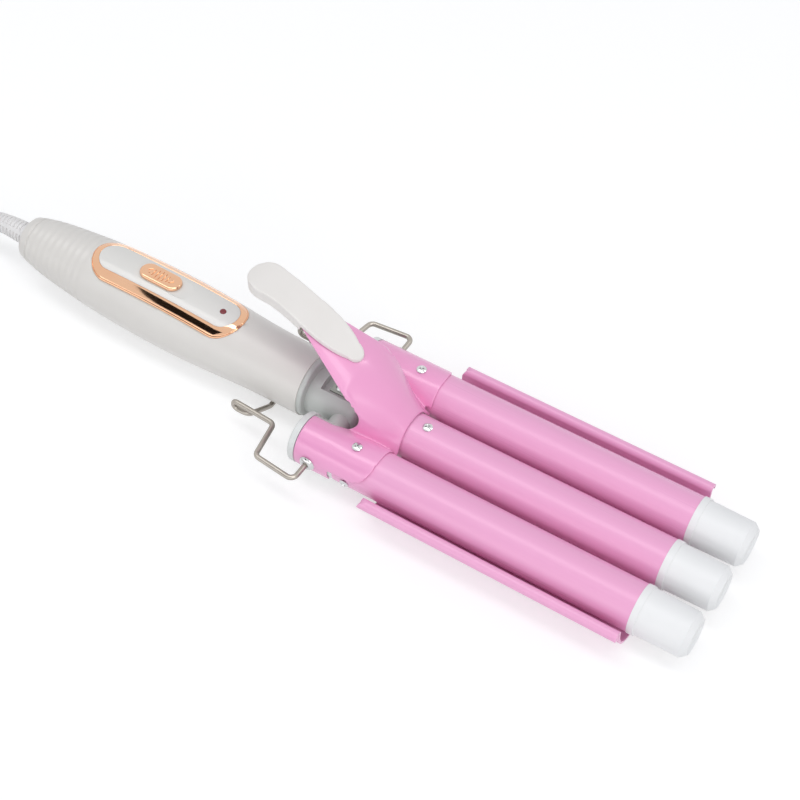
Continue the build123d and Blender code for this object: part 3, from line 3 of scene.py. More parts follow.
import bmesh
import bpy
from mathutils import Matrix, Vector


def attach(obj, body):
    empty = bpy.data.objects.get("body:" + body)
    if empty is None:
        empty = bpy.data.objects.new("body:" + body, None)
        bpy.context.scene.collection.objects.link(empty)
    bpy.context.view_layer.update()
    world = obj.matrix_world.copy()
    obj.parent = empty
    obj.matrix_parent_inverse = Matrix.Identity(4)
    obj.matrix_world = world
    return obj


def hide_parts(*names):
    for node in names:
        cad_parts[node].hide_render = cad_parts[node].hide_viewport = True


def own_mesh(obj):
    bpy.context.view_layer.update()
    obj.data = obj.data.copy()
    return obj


# Three-barrel hair waver.  +X runs along the barrels to their tips, +Z is up, and all sizes are
# in metres.

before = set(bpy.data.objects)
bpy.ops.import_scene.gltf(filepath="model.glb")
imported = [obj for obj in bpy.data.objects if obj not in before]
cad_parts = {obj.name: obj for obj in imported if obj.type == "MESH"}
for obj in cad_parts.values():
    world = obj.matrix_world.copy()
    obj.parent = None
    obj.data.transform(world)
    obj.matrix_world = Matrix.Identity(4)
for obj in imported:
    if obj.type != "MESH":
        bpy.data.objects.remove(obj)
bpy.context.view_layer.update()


# ------------------------------------------------------------------------------- barrels
# Aluminium tubes sprayed with a pink ceramic coating.  The coat is satin: it is rubbed along
# the tube, which leaves faint streaks and draws the highlights out into long soft bands.

MM = 0.001
BARREL_NAMES = ("left", "middle", "right")
BARREL_PINK = "#F3B0D6"
BARREL_PINK_DEEP = "#F0A9D1"
BARREL_ROUGHNESS = (0.24, 0.34)
BARREL_IOR = 1.55
STREAK_WIDTH = 1.3 * MM
STREAK_LENGTH = 140 * MM
STREAK_DEPTH = 0.004 * MM


def linear(code):
    """An sRGB hex colour as the linear colour that shaders take."""
    parts = [int(code[start : start + 2], 16) / 255 for start in (1, 3, 5)]
    return tuple(p / 12.92 if p <= 0.04045 else ((p + 0.055) / 1.055) ** 2.4 for p in parts) + (1.0,)


def add_node(tree, kind, inputs=None, **settings):
    """Adds a node with its settings, and gives its inputs a value or a link."""
    node = tree.nodes.new(kind)
    for name, value in settings.items():
        setattr(node, name, value)
    for name, value in (inputs or {}).items():
        if isinstance(value, bpy.types.NodeSocket):
            tree.links.new(value, node.inputs[name])
        else:
            node.inputs[name].default_value = value
    return node


def new_finish(name):
    """A new material with its node tree and its main shader."""
    finish = bpy.data.materials.new(name)
    finish.use_nodes = True
    return finish, finish.node_tree, finish.node_tree.nodes["Principled BSDF"]


def dress(finish, *names):
    """Gives the finish to nodes of the frame."""
    for name in names:
        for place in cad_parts[name].material_slots:
            place.material = finish


def satin_ceramic_coat():
    """The tubes' coat: long streaks along X in its tone, its gloss and its fine relief."""
    finish, tree, shader = new_finish("satin_ceramic_coat")
    place = add_node(tree, "ShaderNodeTexCoord")
    along = (1 / STREAK_LENGTH, 1 / STREAK_WIDTH, 1 / STREAK_WIDTH)
    stretched = add_node(
        tree, "ShaderNodeMapping", {"Vector": place.outputs["Object"], "Scale": along}
    )
    streaks = add_node(
        tree, "ShaderNodeTexNoise", {"Vector": stretched.outputs["Vector"], "Scale": 1.0, "Detail": 3.0}
    )
    tint = add_node(
        tree,
        "ShaderNodeMixRGB",
        {"Fac": streaks.outputs["Fac"], "Color1": linear(BARREL_PINK), "Color2": linear(BARREL_PINK_DEEP)},
    )
    smooth, rough = BARREL_ROUGHNESS
    gloss = add_node(
        tree, "ShaderNodeMapRange", {"Value": streaks.outputs["Fac"], "To Min": smooth, "To Max": rough}
    )
    ridges = add_node(
        tree, "ShaderNodeBump", {"Height": streaks.outputs["Fac"], "Distance": STREAK_DEPTH}
    )
    tree.links.new(tint.outputs["Color"], shader.inputs["Base Color"])
    tree.links.new(gloss.outputs["Result"], shader.inputs["Roughness"])
    tree.links.new(ridges.outputs["Normal"], shader.inputs["Normal"])
    shader.inputs["IOR"].default_value = BARREL_IOR
    return finish


coat = satin_ceramic_coat()
dress(coat, *[f"{name}_barrel_tube" for name in BARREL_NAMES])


# --------------------------------------------------------------------------- heating parts
# A flat ceramic heater lies between two half-round aluminium spreaders in each barrel.  They
# are closed in by the tube and the cap, and are plain fired ceramic and mill-finish metal.

DRIFT_SIZE = 14 * MM
GLOSS_SPREAD = 0.15
LACQUER_ROUGHNESS = 0.08


def worked_surface(name, colour, deep, roughness, grain, depth, metallic=0.0, ior=1.5, coat_weight=0.0):
    """A surface whose tone and gloss drift a little, over a fine grain of a real size."""
    finish, tree, shader = new_finish(name)
    place = add_node(tree, "ShaderNodeTexCoord")
    drift = add_node(
        tree,
        "ShaderNodeTexNoise",
        {"Vector": place.outputs["Object"], "Scale": 1 / DRIFT_SIZE, "Detail": 2.0},
    )
    fine = add_node(
        tree, "ShaderNodeTexNoise", {"Vector": place.outputs["Object"], "Scale": 1 / grain, "Detail": 2.0}
    )
    tint = add_node(
        tree,
        "ShaderNodeMixRGB",
        {"Fac": drift.outputs["Fac"], "Color1": linear(colour), "Color2": linear(deep)},
    )
    smooth, rough = roughness * (1 - GLOSS_SPREAD), roughness * (1 + GLOSS_SPREAD)
    gloss = add_node(
        tree, "ShaderNodeMapRange", {"Value": fine.outputs["Fac"], "To Min": smooth, "To Max": rough}
    )
    ridges = add_node(tree, "ShaderNodeBump", {"Height": fine.outputs["Fac"], "Distance": depth})
    tree.links.new(tint.outputs["Color"], shader.inputs["Base Color"])
    tree.links.new(gloss.outputs["Result"], shader.inputs["Roughness"])
    tree.links.new(ridges.outputs["Normal"], shader.inputs["Normal"])
    shader.inputs["Metallic"].default_value = metallic
    shader.inputs["IOR"].default_value = ior
    shader.inputs["Coat Weight"].default_value = coat_weight
    shader.inputs["Coat Roughness"].default_value = LACQUER_ROUGHNESS
    return finish


fired_ceramic = worked_surface("fired_alumina", "#ECEAE2", "#E0DDD2", 0.6, 0.4 * MM, 0.01 * MM, ior=1.7)
mill_aluminium = worked_surface(
    "mill_aluminium", "#B9BBBD", "#A9ACAF", 0.38, 0.5 * MM, 0.008 * MM, metallic=1.0
)
for name in BARREL_NAMES:
    dress(fired_ceramic, f"{name}_heater")
    dress(mill_aluminium, f"{name}_heat_spreader")


# ------------------------------------------------------------------------------- tip caps
# Heat-resistant end caps, moulded in glass-filled nylon and pressed into the tubes.  Their
# skin is a fine matt white that still shows a broad soft highlight.

cap_nylon = worked_surface("glass_filled_nylon", "#F2F2F2", "#EEEEEE", 0.42, 0.35 * MM, 0.004 * MM, ior=1.53)
dress(cap_nylon, *[f"{name}_tip_cap" for name in BARREL_NAMES])


# ----------------------------------------------------------------------------- wave plate
# One aluminium sheet, pressed into troughs that end in rolled lips.  It carries the same
# sprayed coat as the tubes.

dress(coat, "wave_plate")


# ---------------------------------------------------------------- rear plugs and clamp cover
# The plugs are phenolic stoppers, harder and a little greyer than the caps.  The cover is
# pressed from steel sheet, and its enamel is a stronger, slightly glossier pink than the tubes'.

ENAMEL_PINK = "#F5A8D3"
ENAMEL_PINK_DEEP = "#F3A3D0"
MERGE_DISTANCE = 0.002 * MM
COVER_VOXEL = 0.42 * MM
COVER_SMOOTHING = 14
SMOOTH_FACTOR = 0.5

# only the top of the sheet ahead of the hinge carries folds and dents
PRESSED_FROM = 10 * MM
PRESSED_ABOVE = 20 * MM
FOLD_RISE = 0.35 * MM
FOLD_WIDTH = 0.9 * MM
# plan of the fold between each arm and the ramp, in millimetres from the frame's origin
FOLD_LINE = ((14.0, 15.6), (20.4, 16.8), (24.6, 16.3), (29.8, 14.2), (33.2, 12.9), (38.2, 11.5))
DENT_PLACE = (26.0, 26.2)
DENT_DEPTH = 0.16 * MM
DENT_RADIUS = 5.0 * MM
FLAT_ANGLE = radians(32)

phenolic = worked_surface("white_phenolic", "#E6E8E6", "#DCDFDD", 0.38, 0.5 * MM, 0.004 * MM, ior=1.6)
dress(phenolic, "left_rear_plug", "right_rear_plug")


def shade(mesh, angle=FLAT_ANGLE):
    """Smooth shading that keeps the edges sharper than the angle."""
    mesh.polygons.foreach_set("use_smooth", [True] * len(mesh.polygons))
    mesh.set_sharp_from_angle(angle=angle)
    mesh.update()


def new_piece(name, mesh, finish, body, slot_name, *replaced):
    """A finished piece: it rides on a body and may stand for nodes of the frame."""
    piece = bpy.data.objects.new(name, mesh)
    bpy.context.scene.collection.objects.link(piece)
    mesh.materials.clear()
    mesh.materials.append(finish)
    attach(piece, body)
    if replaced:
        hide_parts(*replaced)
    return piece


def joined_copy(node_name):
    """A copy of a node's mesh whose triangles are joined at their corners."""
    joined = bmesh.new()
    joined.from_mesh(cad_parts[node_name].data)
    bmesh.ops.remove_doubles(joined, verts=joined.verts, dist=MERGE_DISTANCE)
    mesh = bpy.data.meshes.new(node_name + "_joined")
    joined.to_mesh(mesh)
    joined.free()
    return mesh


def applied(mesh, *modifiers):
    """The mesh after a row of modifiers, each a type with its settings."""
    worker = bpy.data.objects.new("worker", mesh)
    bpy.context.scene.collection.objects.link(worker)
    for kind, settings in modifiers:
        step = worker.modifiers.new(kind.lower(), kind)
        for setting, value in settings.items():
            setattr(step, setting, value)
    ready = worker.evaluated_get(bpy.context.evaluated_depsgraph_get())
    result = bpy.data.meshes.new_from_object(ready)
    bpy.data.objects.remove(worker)
    return result


def fold_distance(x, y):
    """Plan distance to the fold beside the ramp, on either side of the waver."""
    place = Vector((x, abs(y)))
    nearest = 1.0
    for start, end in zip(FOLD_LINE, FOLD_LINE[1:]):
        first, second = Vector(start) * MM, Vector(end) * MM
        run = second - first
        share = min(1.0, max(0.0, (place - first).dot(run) / run.length_squared))
        nearest = min(nearest, (place - first - run * share).length)
    return nearest


cover_mesh = applied(
    joined_copy("clamp_cover"),
    ("REMESH", {"mode": "VOXEL", "voxel_size": COVER_VOXEL}),
    ("SMOOTH", {"factor": SMOOTH_FACTOR, "iterations": COVER_SMOOTHING}),
)
dent_centre = Vector(DENT_PLACE) * MM
for corner in cover_mesh.vertices:
    x, y, z = corner.co
    if x > PRESSED_FROM and z > PRESSED_ABOVE:
        fold = exp(-((fold_distance(x, y) / FOLD_WIDTH) ** 2))
        dent = exp(-(((Vector((x, abs(y))) - dent_centre).length / DENT_RADIUS) ** 2))
        corner.co.z = z + FOLD_RISE * fold - DENT_DEPTH * dent
shade(cover_mesh, pi)
enamel = worked_surface(
    "pink_enamel", ENAMEL_PINK, ENAMEL_PINK_DEEP, 0.25, 3.0 * MM, 0.004 * MM, ior=1.55, coat_weight=0.3
)
new_piece("cover", cover_mesh, enamel, "clamp", "cover_coating", "clamp_cover")


# ------------------------------------------------------------------------------ thumb pad
# A finger rest moulded in ABS and pushed on to the cover's tongue.  All its edges are rounded
# to the touch, so its solid is remeshed finely and its corners are worn soft.

PAD_VOXEL = 0.4 * MM
PAD_SMOOTHING = 3

# ahead of this station the pad is a thin blade that lies on the tongue
PAD_STEP = -14.5 * MM
# the tongue lies at most this far under the pad's top, so the blade's rim ends level with it
PAD_BLADE_DEPTH = 2.3 * MM

# the rear end is drawn out a little from here
PAD_REAR_FROM = -25.0 * MM
PAD_REAR_STRETCH = 1.15

# top of the pad ahead of its step: distance from the origin and height, in millimetres
PAD_TOP = ((-14.4, 68.0), (-1.0, 61.0), (4.0, 58.15), (8.0, 55.7))


def pad_top(x):
    """Height of the pad's top at a station."""
    for (first, low), (second, high) in zip(PAD_TOP, PAD_TOP[1:]):
        if x / MM <= second:
            break
    return (low + (high - low) * (x / MM - first) / (second - first)) * MM


pad_mesh = applied(
    joined_copy("thumb_pad"),
    ("REMESH", {"mode": "VOXEL", "voxel_size": PAD_VOXEL}),
    ("SMOOTH", {"factor": SMOOTH_FACTOR, "iterations": PAD_SMOOTHING}),
)
for corner in pad_mesh.vertices:
    x, y, z = corner.co
    if x > PAD_STEP:
        corner.co.z = max(z, pad_top(x) - PAD_BLADE_DEPTH)
    elif x < PAD_REAR_FROM:
        corner.co.x = PAD_REAR_FROM + (x - PAD_REAR_FROM) * PAD_REAR_STRETCH
shade(pad_mesh, pi)
pad_abs = worked_surface("polished_abs", "#EEEAE6", "#EAE6E1", 0.34, 0.8 * MM, 0.003 * MM, ior=1.54)
new_piece("pad", pad_mesh, pad_abs, "clamp", "pad_white", "thumb_pad")


# --------------------------------------------------------------------------------- screws
# Nickel-plated pan-head screws with a cross recess: two in the cover's arms, two in the sides
# of the barrels, one in the middle barrel, and those of the plate, the spring and the grip.

SCREW_HEAD_RADIUS = 2.3 * MM
SCREW_HEAD_HEIGHT = 1.1 * MM
SCREW_EDGE_HEIGHT = 0.37 * MM
SCREW_SHANK_RADIUS = 1.1 * MM
SCREW_SHANK_LENGTH = 4.5 * MM
RECESS_REACH = 1.45 * MM
RECESS_WIDTH = 0.62 * MM
RECESS_DEPTH = 0.75 * MM
RECESS_TAPER = 0.55
CUTTER_TOP = 1.21 * MM
TURNED_STEPS = 48
HEAD_RINGS = 6


def turned(profile, steps=TURNED_STEPS):
    """A closed mesh turned about +Z from points (radius, height) that start and end on the axis."""
    body = bmesh.new()
    rings = []
    for radius, height in profile:
        if radius == 0:
            rings.append([body.verts.new((0, 0, height))] * steps)
        else:
            turns = [2 * pi * step / steps for step in range(steps)]
            rings.append([body.verts.new((radius * cos(t), radius * sin(t), height)) for t in turns])
    for ring, following in zip(rings, rings[1:]):
        for step in range(steps):
            after = (step + 1) % steps
            corners = [ring[step], ring[after], following[after], following[step]]
            body.faces.new(list(dict.fromkeys(corners)))
    bmesh.ops.recalc_face_normals(body, faces=body.faces)
    mesh = bpy.data.meshes.new("turned")
    body.to_mesh(mesh)
    body.free()
    return mesh


def cross_cutter(reach, width, top, bottom, taper):
    """A tapering cross: twelve corners at its mouth, drawn in at its floor."""
    half = width / 2
    corner_ring = [(half, half), (reach, half), (reach, -half), (half, -half)]
    outline = []
    for quarter in range(4):
        c, s = cos(quarter * pi / 2), sin(quarter * pi / 2)
        outline += [(x * c + y * s, y * c - x * s) for x, y in corner_ring[:3]]
    cutter = bmesh.new()
    mouth = [cutter.verts.new((x, y, top)) for x, y in outline]
    floor = [cutter.verts.new((x * taper, y * taper, bottom)) for x, y in outline]
    cutter.faces.new(mouth)
    cutter.faces.new(floor[::-1])
    for index in range(len(outline)):
        after = (index + 1) % len(outline)
        cutter.faces.new((mouth[index], floor[index], floor[after], mouth[after]))
    bmesh.ops.recalc_face_normals(cutter, faces=cutter.faces)
    mesh = bpy.data.meshes.new("cross")
    cutter.to_mesh(mesh)
    cutter.free()
    return mesh


def screw_pattern():
    """One screw along +Z: a domed head with its cross recess, over a plain shank."""
    rise = SCREW_HEAD_HEIGHT - SCREW_EDGE_HEIGHT
    shares = [ring / HEAD_RINGS for ring in range(HEAD_RINGS + 1)]
    profile = [(SCREW_HEAD_RADIUS * s, SCREW_HEAD_HEIGHT - rise * s * s) for s in shares]
    profile += [
        (SCREW_HEAD_RADIUS, 0),
        (SCREW_SHANK_RADIUS, 0),
        (SCREW_SHANK_RADIUS, -SCREW_SHANK_LENGTH),
        (0, -SCREW_SHANK_LENGTH),
    ]
    floor = SCREW_HEAD_HEIGHT - RECESS_DEPTH
    cutter = cross_cutter(RECESS_REACH, RECESS_WIDTH, CUTTER_TOP, floor, RECESS_TAPER)
    cross = bpy.data.objects.new("cross", cutter)
    bpy.context.scene.collection.objects.link(cross)
    mesh = applied(
        turned(profile),
        ("BOOLEAN", {"object": cross, "operation": "DIFFERENCE", "solver": "EXACT"}),
    )
    bpy.data.objects.remove(cross)
    shade(mesh)
    return mesh


def seated_fasteners_tree():
    """Puts a fastener on each seat, square to it and turned about its own axis."""
    tree = bpy.data.node_groups.new("seated_fasteners", "GeometryNodeTree")
    for socket_name, kind in (
        ("Seats", "NodeSocketGeometry"),
        ("Fastener", "NodeSocketObject"),
        ("Size", "NodeSocketFloat"),
        ("Finish", "NodeSocketMaterial"),
    ):
        tree.interface.new_socket(socket_name, in_out="INPUT", socket_type=kind)
    tree.interface.new_socket("Fasteners", in_out="OUTPUT", socket_type="NodeSocketGeometry")
    given = add_node(tree, "NodeGroupInput")
    outward = add_node(
        tree, "GeometryNodeInputNamedAttribute", {"Name": "outward"}, data_type="FLOAT_VECTOR"
    )
    spin = add_node(tree, "GeometryNodeInputNamedAttribute", {"Name": "spin"}, data_type="FLOAT")
    square = add_node(
        tree, "FunctionNodeAlignRotationToVector", {"Vector": outward.outputs["Attribute"]}, axis="Z"
    )
    own_turn = add_node(
        tree, "FunctionNodeAxisAngleToRotation", {"Axis": (0, 0, 1), "Angle": spin.outputs["Attribute"]}
    )
    turn = add_node(
        tree,
        "FunctionNodeRotateRotation",
        {"Rotation": square.outputs["Rotation"], "Rotate By": own_turn.outputs["Rotation"]},
        rotation_space="LOCAL",
    )
    source = add_node(tree, "GeometryNodeObjectInfo", {"Object": given.outputs["Fastener"]})
    placed = add_node(
        tree,
        "GeometryNodeInstanceOnPoints",
        {
            "Points": given.outputs["Seats"],
            "Instance": source.outputs["Geometry"],
            "Rotation": turn.outputs["Rotation"],
            "Scale": given.outputs["Size"],
        },
    )
    real = add_node(tree, "GeometryNodeRealizeInstances", {"Geometry": placed.outputs["Instances"]})
    painted = add_node(
        tree,
        "GeometryNodeSetMaterial",
        {"Geometry": real.outputs["Geometry"], "Material": given.outputs["Finish"]},
    )
    add_node(tree, "NodeGroupOutput", {"Fasteners": painted.outputs["Geometry"]})
    return tree


def run_tree(tree, mesh, **values):
    """The plain mesh that a Geometry Nodes tree makes of a mesh and named inputs."""
    worker = bpy.data.objects.new("worker", mesh)
    bpy.context.scene.collection.objects.link(worker)
    step = worker.modifiers.new("tree", "NODES")
    step.node_group = tree
    for socket in tree.interface.items_tree:
        if socket.in_out == "INPUT" and socket.name in values:
            step[socket.identifier] = values[socket.name]
    ready = worker.evaluated_get(bpy.context.evaluated_depsgraph_get())
    result = bpy.data.meshes.new_from_object(ready)
    bpy.data.objects.remove(worker)
    return result


def seat_mesh(seats):
    """A point for each seat, which holds its outward direction and the screw's turn."""
    mesh = bpy.data.meshes.new("seats")
    mesh.from_pydata([place for place, _, _ in seats], [], [])
    outward = mesh.attributes.new("outward", "FLOAT_VECTOR", "POINT")
    outward.data.foreach_set("vector", [part for _, way, _ in seats for part in way])
    spin = mesh.attributes.new("spin", "FLOAT", "POINT")
    spin.data.foreach_set("value", [radians(turn) for _, _, turn in seats])
    return mesh


nickel = worked_surface("bright_nickel", "#D9DADA", "#C9CBCC", 0.16, 0.6 * MM, 0.004 * MM, metallic=1.0)
screw_source = bpy.data.objects.new("screw_source", screw_pattern())
bpy.context.scene.collection.objects.link(screw_source)
fastener_tree = seated_fasteners_tree()


def screws(name, body, seats, *replaced):
    """A group of like screws, one on each seat."""
    mesh = run_tree(fastener_tree, seat_mesh(seats), Fastener=screw_source, Size=1.0, Finish=nickel)
    return new_piece(name, mesh, nickel, body, "screw_nickel", *replaced)


# the clamp turns here, and stations and heights on the barrels are counted from it
HINGE = Vector((7.0, 0.0, 16.5)) * MM
BARREL_PITCH = 26.2 * MM
BARREL_RADIUS = 11.0 * MM
COVER_RADIUS = 11.9 * MM
ARM_SCREW_STATION = 19.0 * MM
SIDE_SCREW_DROP = radians(10)
MIDDLE_SCREW_STATION = 38.6 * MM
PLATE_SCREW_STATIONS = (42 * MM, 134 * MM)
PLATE_UNDERSIDE = 12.3 * MM
SPRING_SEAT = Vector((-7.0, 0.0, 8.6)) * MM
UP = Vector((0, 0, 1))


def on_barrel(station, side, height):
    """A point counted from the hinge."""
    return HINGE + Vector((station, side, height))


screws(
    "arm_screws_dressed",
    "clamp",
    [
        (on_barrel(ARM_SCREW_STATION, BARREL_PITCH, COVER_RADIUS), UP, 22),
        (on_barrel(ARM_SCREW_STATION, -BARREL_PITCH, COVER_RADIUS), UP, 58),
    ],
    "arm_screws",
)
side_seats = []
for way, turn in ((1, 30), (-1, 75)):
    out = Vector((0, way * cos(SIDE_SCREW_DROP), -sin(SIDE_SCREW_DROP)))
    side_seats.append((on_barrel(ARM_SCREW_STATION, way * BARREL_PITCH, 0) + out * BARREL_RADIUS, out, turn))
screws("side_screws_dressed", "clamp", side_seats, "barrel_side_screws")
screws(
    "middle_screw_dressed",
    "handle",
    [(on_barrel(MIDDLE_SCREW_STATION, 0, BARREL_RADIUS), UP, 40)],
    "middle_barrel_screw",
)
screws(
    "plate_screws_dressed",
    "handle",
    [(on_barrel(station, 0, -PLATE_UNDERSIDE), -UP, 15) for station in PLATE_SCREW_STATIONS],
    "wave_plate_screws",
)
screws("spring_screw_dressed", "handle", [(HINGE + SPRING_SEAT, UP, 10)], "spring_screw")
dress(nickel, "board_screws", "cord_clamp_screws")


# ------------------------------------------------------------------- rivets and wire stand
# The stand is hard-drawn steel wire, bent cold and left bare, so it is greyer and less bright
# than the nickel of the hollow rivets that hold its two ends.

drawn_wire = worked_surface("drawn_steel_wire", "#B8B2AA", "#A49E96", 0.3, 0.9 * MM, 0.01 * MM, metallic=1.0)
dress(nickel, "stand_rivets")
dress(drawn_wire, "wire_stand")


# ------------------------------------------------------------------- neck, core and spring
# The neck is moulded in a glass-filled grey PBT that stands the heat.  A ceramic core joins
# it to the middle barrel, and a bare folded strip of spring steel lies in its slot.

neck_pbt = worked_surface("grey_pbt", "#CDD0CC", "#C2C6C2", 0.4, 0.5 * MM, 0.006 * MM, ior=1.55)
core_ceramic = worked_surface("steatite_core", "#DED8CB", "#D2CBBC", 0.65, 0.5 * MM, 0.01 * MM, ior=1.6)
spring_steel = worked_surface("spring_steel", "#9FA19C", "#8B8D88", 0.32, 0.7 * MM, 0.01 * MM, metallic=1.0)
dress(neck_pbt, "neck_housing")
dress(core_ceramic, "barrel_insulator")

spring_mesh = joined_copy("leaf_spring")
shade(spring_mesh)
spring = new_piece("spring_strip", spring_mesh, spring_steel, "handle", "spring_steel", "leaf_spring")
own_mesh(spring)


# ---------------------------------------------------------------------------------- grip
# Two ABS shells screwed together from below, spark-textured so finely that they look satin.
# Rings are cut round the rear for the fingers.

grip_abs = worked_surface("satin_abs", "#E2DFDA", "#DEDAD5", 0.36, 0.5 * MM, 0.004 * MM, ior=1.54)

GRIP_TILT = radians(1.72)
GRIP_LENGTH = 175.0 * MM
GRIP_FRONT = Vector((-15.0, 0.0, 18.17)) * MM
GRIP_REARWARD = Vector((-cos(GRIP_TILT), 0, sin(GRIP_TILT)))
GRIP_UPWARD = Vector((sin(GRIP_TILT), 0, cos(GRIP_TILT)))
# station from the grip's front end and radius there, in millimetres
GRIP_OUTLINE = (
    (0.0, 15.6),
    (14.0, 15.85),
    (28.0, 16.15),
    (46.0, 17.25),
    (64.0, 18.25),
    (84.0, 18.55),
    (104.0, 18.15),
    (124.0, 17.05),
    (142.0, 15.2),
    (157.0, 12.9),
    (168.0, 10.1),
)
CASE_SCREW_STATIONS = (26.0 * MM, 134.0 * MM)
CASE_SCREW_DEPTH = 5.0 * MM


def on_grip(station, side, height):
    """A point of the grip: station from its front end, side, and height over its axis."""
    return GRIP_FRONT + GRIP_REARWARD * station + Vector((0, side, 0)) + GRIP_UPWARD * height


def grip_radius(station):
    """Radius of the grip at a station: a cubic through the four nearest points of its outline."""
    place = station / MM
    first = sum(1 for row in GRIP_OUTLINE[1:-2] if row[0] < place)
    rows = GRIP_OUTLINE[max(0, first - 1) : max(0, first - 1) + 4]
    total = 0.0
    for index, (here, radius) in enumerate(rows):
        share = 1.0
        for other, (there, _) in enumerate(rows):
            if other != index:
                share *= (place - there) / (here - there)
        total += radius * share
    return total * MM


GRIP_REAR_END = 166.4 * MM
BLUNT_FROM = 160.0 * MM
BLUNT_SPREAD = 0.22


def blunt_shell(name, node_name):
    """The shell with its rear end drawn in and kept wide, so that it closes bluntly."""
    mesh = joined_copy(node_name)
    reach = GRIP_LENGTH - BLUNT_FROM
    for corner in mesh.vertices:
        offset = corner.co - GRIP_FRONT
        station = offset.dot(GRIP_REARWARD)
        if station > BLUNT_FROM:
            share = (station - BLUNT_FROM) / reach
            spread = 1 + BLUNT_SPREAD * share
            drawn_in = BLUNT_FROM + (GRIP_REAR_END - BLUNT_FROM) * share
            corner.co = on_grip(drawn_in, offset.y * spread, offset.dot(GRIP_UPWARD) * spread)
    shade(mesh)
    new_piece(name, mesh, grip_abs, "handle", "grip_white", node_name)


blunt_shell("upper_shell_dressed", "grip_upper_shell")
blunt_shell("lower_shell_dressed", "grip_lower_shell")
screws(
    "case_screws_dressed",
    "handle",
    [
        (on_grip(station, 0, CASE_SCREW_DEPTH - grip_radius(station)), -GRIP_UPWARD, 35)
        for station in CASE_SCREW_STATIONS
    ],
    "case_screws",
)
bpy.data.objects.remove(screw_source)


# -------------------------------------------------------------------------- control panel
# A ring of ABS, vacuum-plated in rose gold, frames a glossy white inlay.  The ring has a thin
# outer flange, a groove and a broad bevel that rises to the inlay.

PANEL_CENTRE = 81.0 * MM
BEZEL_LENGTH = 84.8 * MM
BEZEL_WIDTH = 24.4 * MM
INLAY_LENGTH = 77.8 * MM
INLAY_WIDTH = 15.8 * MM
INLAY_PROUD = 0.9 * MM
SIDE_STEPS = 60
END_STEPS = 28
# share of the way in from the outer edge, height over the grip in millimetres
BEZEL_PROFILE = (
    (0.00, -1.10),
    (0.00, 0.16),
    (0.02, 0.26),
    (0.04, 0.31),
    (0.08, 0.32),
    (0.09, 0.28),
    (0.10, 0.14),
    (0.12, 0.14),
    (0.14, 0.34),
    (0.17, 0.40),
    (0.40, 0.64),
    (0.70, 0.89),
    (0.90, 1.02),
    (0.95, 1.03),
    (0.98, 0.94),
    (1.00, 0.80),
    (1.00, -1.10),
)


def stadium(length, width):
    """Points round a slot shape: two straight sides and two round ends."""
    radius = width / 2
    reach = length / 2 - radius
    points = []
    for way in (1, -1):
        points += [
            (way * (reach - 2 * reach * step / SIDE_STEPS), way * radius) for step in range(SIDE_STEPS)
        ]
        points += [
            (
                -way * (reach + radius * sin(pi * step / END_STEPS)),
                way * radius * cos(pi * step / END_STEPS),
            )
            for step in range(END_STEPS)
        ]
    return points


def ring_mesh(rings, closed_loop=False, lids=()):
    """Quads between rings of points; either the last joins the first or named ends get a lid."""
    built = bmesh.new()
    rows = [[built.verts.new(point) for point in ring] for ring in rings]
    pairs = list(zip(rows, rows[1:]))
    if closed_loop:
        pairs.append((rows[-1], rows[0]))
    for row, following in pairs:
        for index in range(len(row)):
            after = (index + 1) % len(row)
            built.faces.new((row[index], row[after], following[after], following[index]))
    for end in lids:
        built.faces.new(rows[end])
    bmesh.ops.recalc_face_normals(built, faces=built.faces)
    mesh = bpy.data.meshes.new("rings")
    built.to_mesh(mesh)
    built.free()
    return mesh


def over_grip(station, side, rise):
    """A point that lies a rise over the grip's skin."""
    radius = grip_radius(station) + rise
    return on_grip(station, side, sqrt(radius**2 - side**2))


bezel_rings = []
for inward, rise in BEZEL_PROFILE:
    length = BEZEL_LENGTH + (INLAY_LENGTH - BEZEL_LENGTH) * inward
    width = BEZEL_WIDTH + (INLAY_WIDTH - BEZEL_WIDTH) * inward
    bezel_rings.append([over_grip(PANEL_CENTRE + s, y, rise * MM) for s, y in stadium(length, width)])
bezel_mesh = ring_mesh(bezel_rings, closed_loop=True)
shade(bezel_mesh)
rose_gold = worked_surface("rose_gold_plate", "#E9C0A0", "#E3B08D", 0.07, 4 * MM, 0.003 * MM, metallic=1.0)
new_piece("bezel", bezel_mesh, rose_gold, "handle", "rose_plate", "panel_bezel")
inlay_abs = worked_surface("glossy_abs", "#E5E3DF", "#E1DFDA", 0.2, 1.5 * MM, 0.001 * MM, ior=1.54)
dress(inlay_abs, "panel_inlay")


# ------------------------------------------------------------------- recess, knob and lens
# The knob slides in a shallow recess of the inlay.  It is plated like the ring, and its top
# carries a worn-smooth relief: five ribs between two arrowheads.  The lamp has a red lens.

KNOB_CENTRE = 85.4 * MM
KNOB_LENGTH = 22.5 * MM
KNOB_WIDTH = 9.5 * MM
KNOB_HEIGHT = 1.7 * MM
RECESS_CENTRE = 81.3 * MM
RECESS_LENGTH = 27.3 * MM
RECESS_WIDTH_ACROSS = 10.3 * MM
RECESS_FLOOR = 0.35 * MM
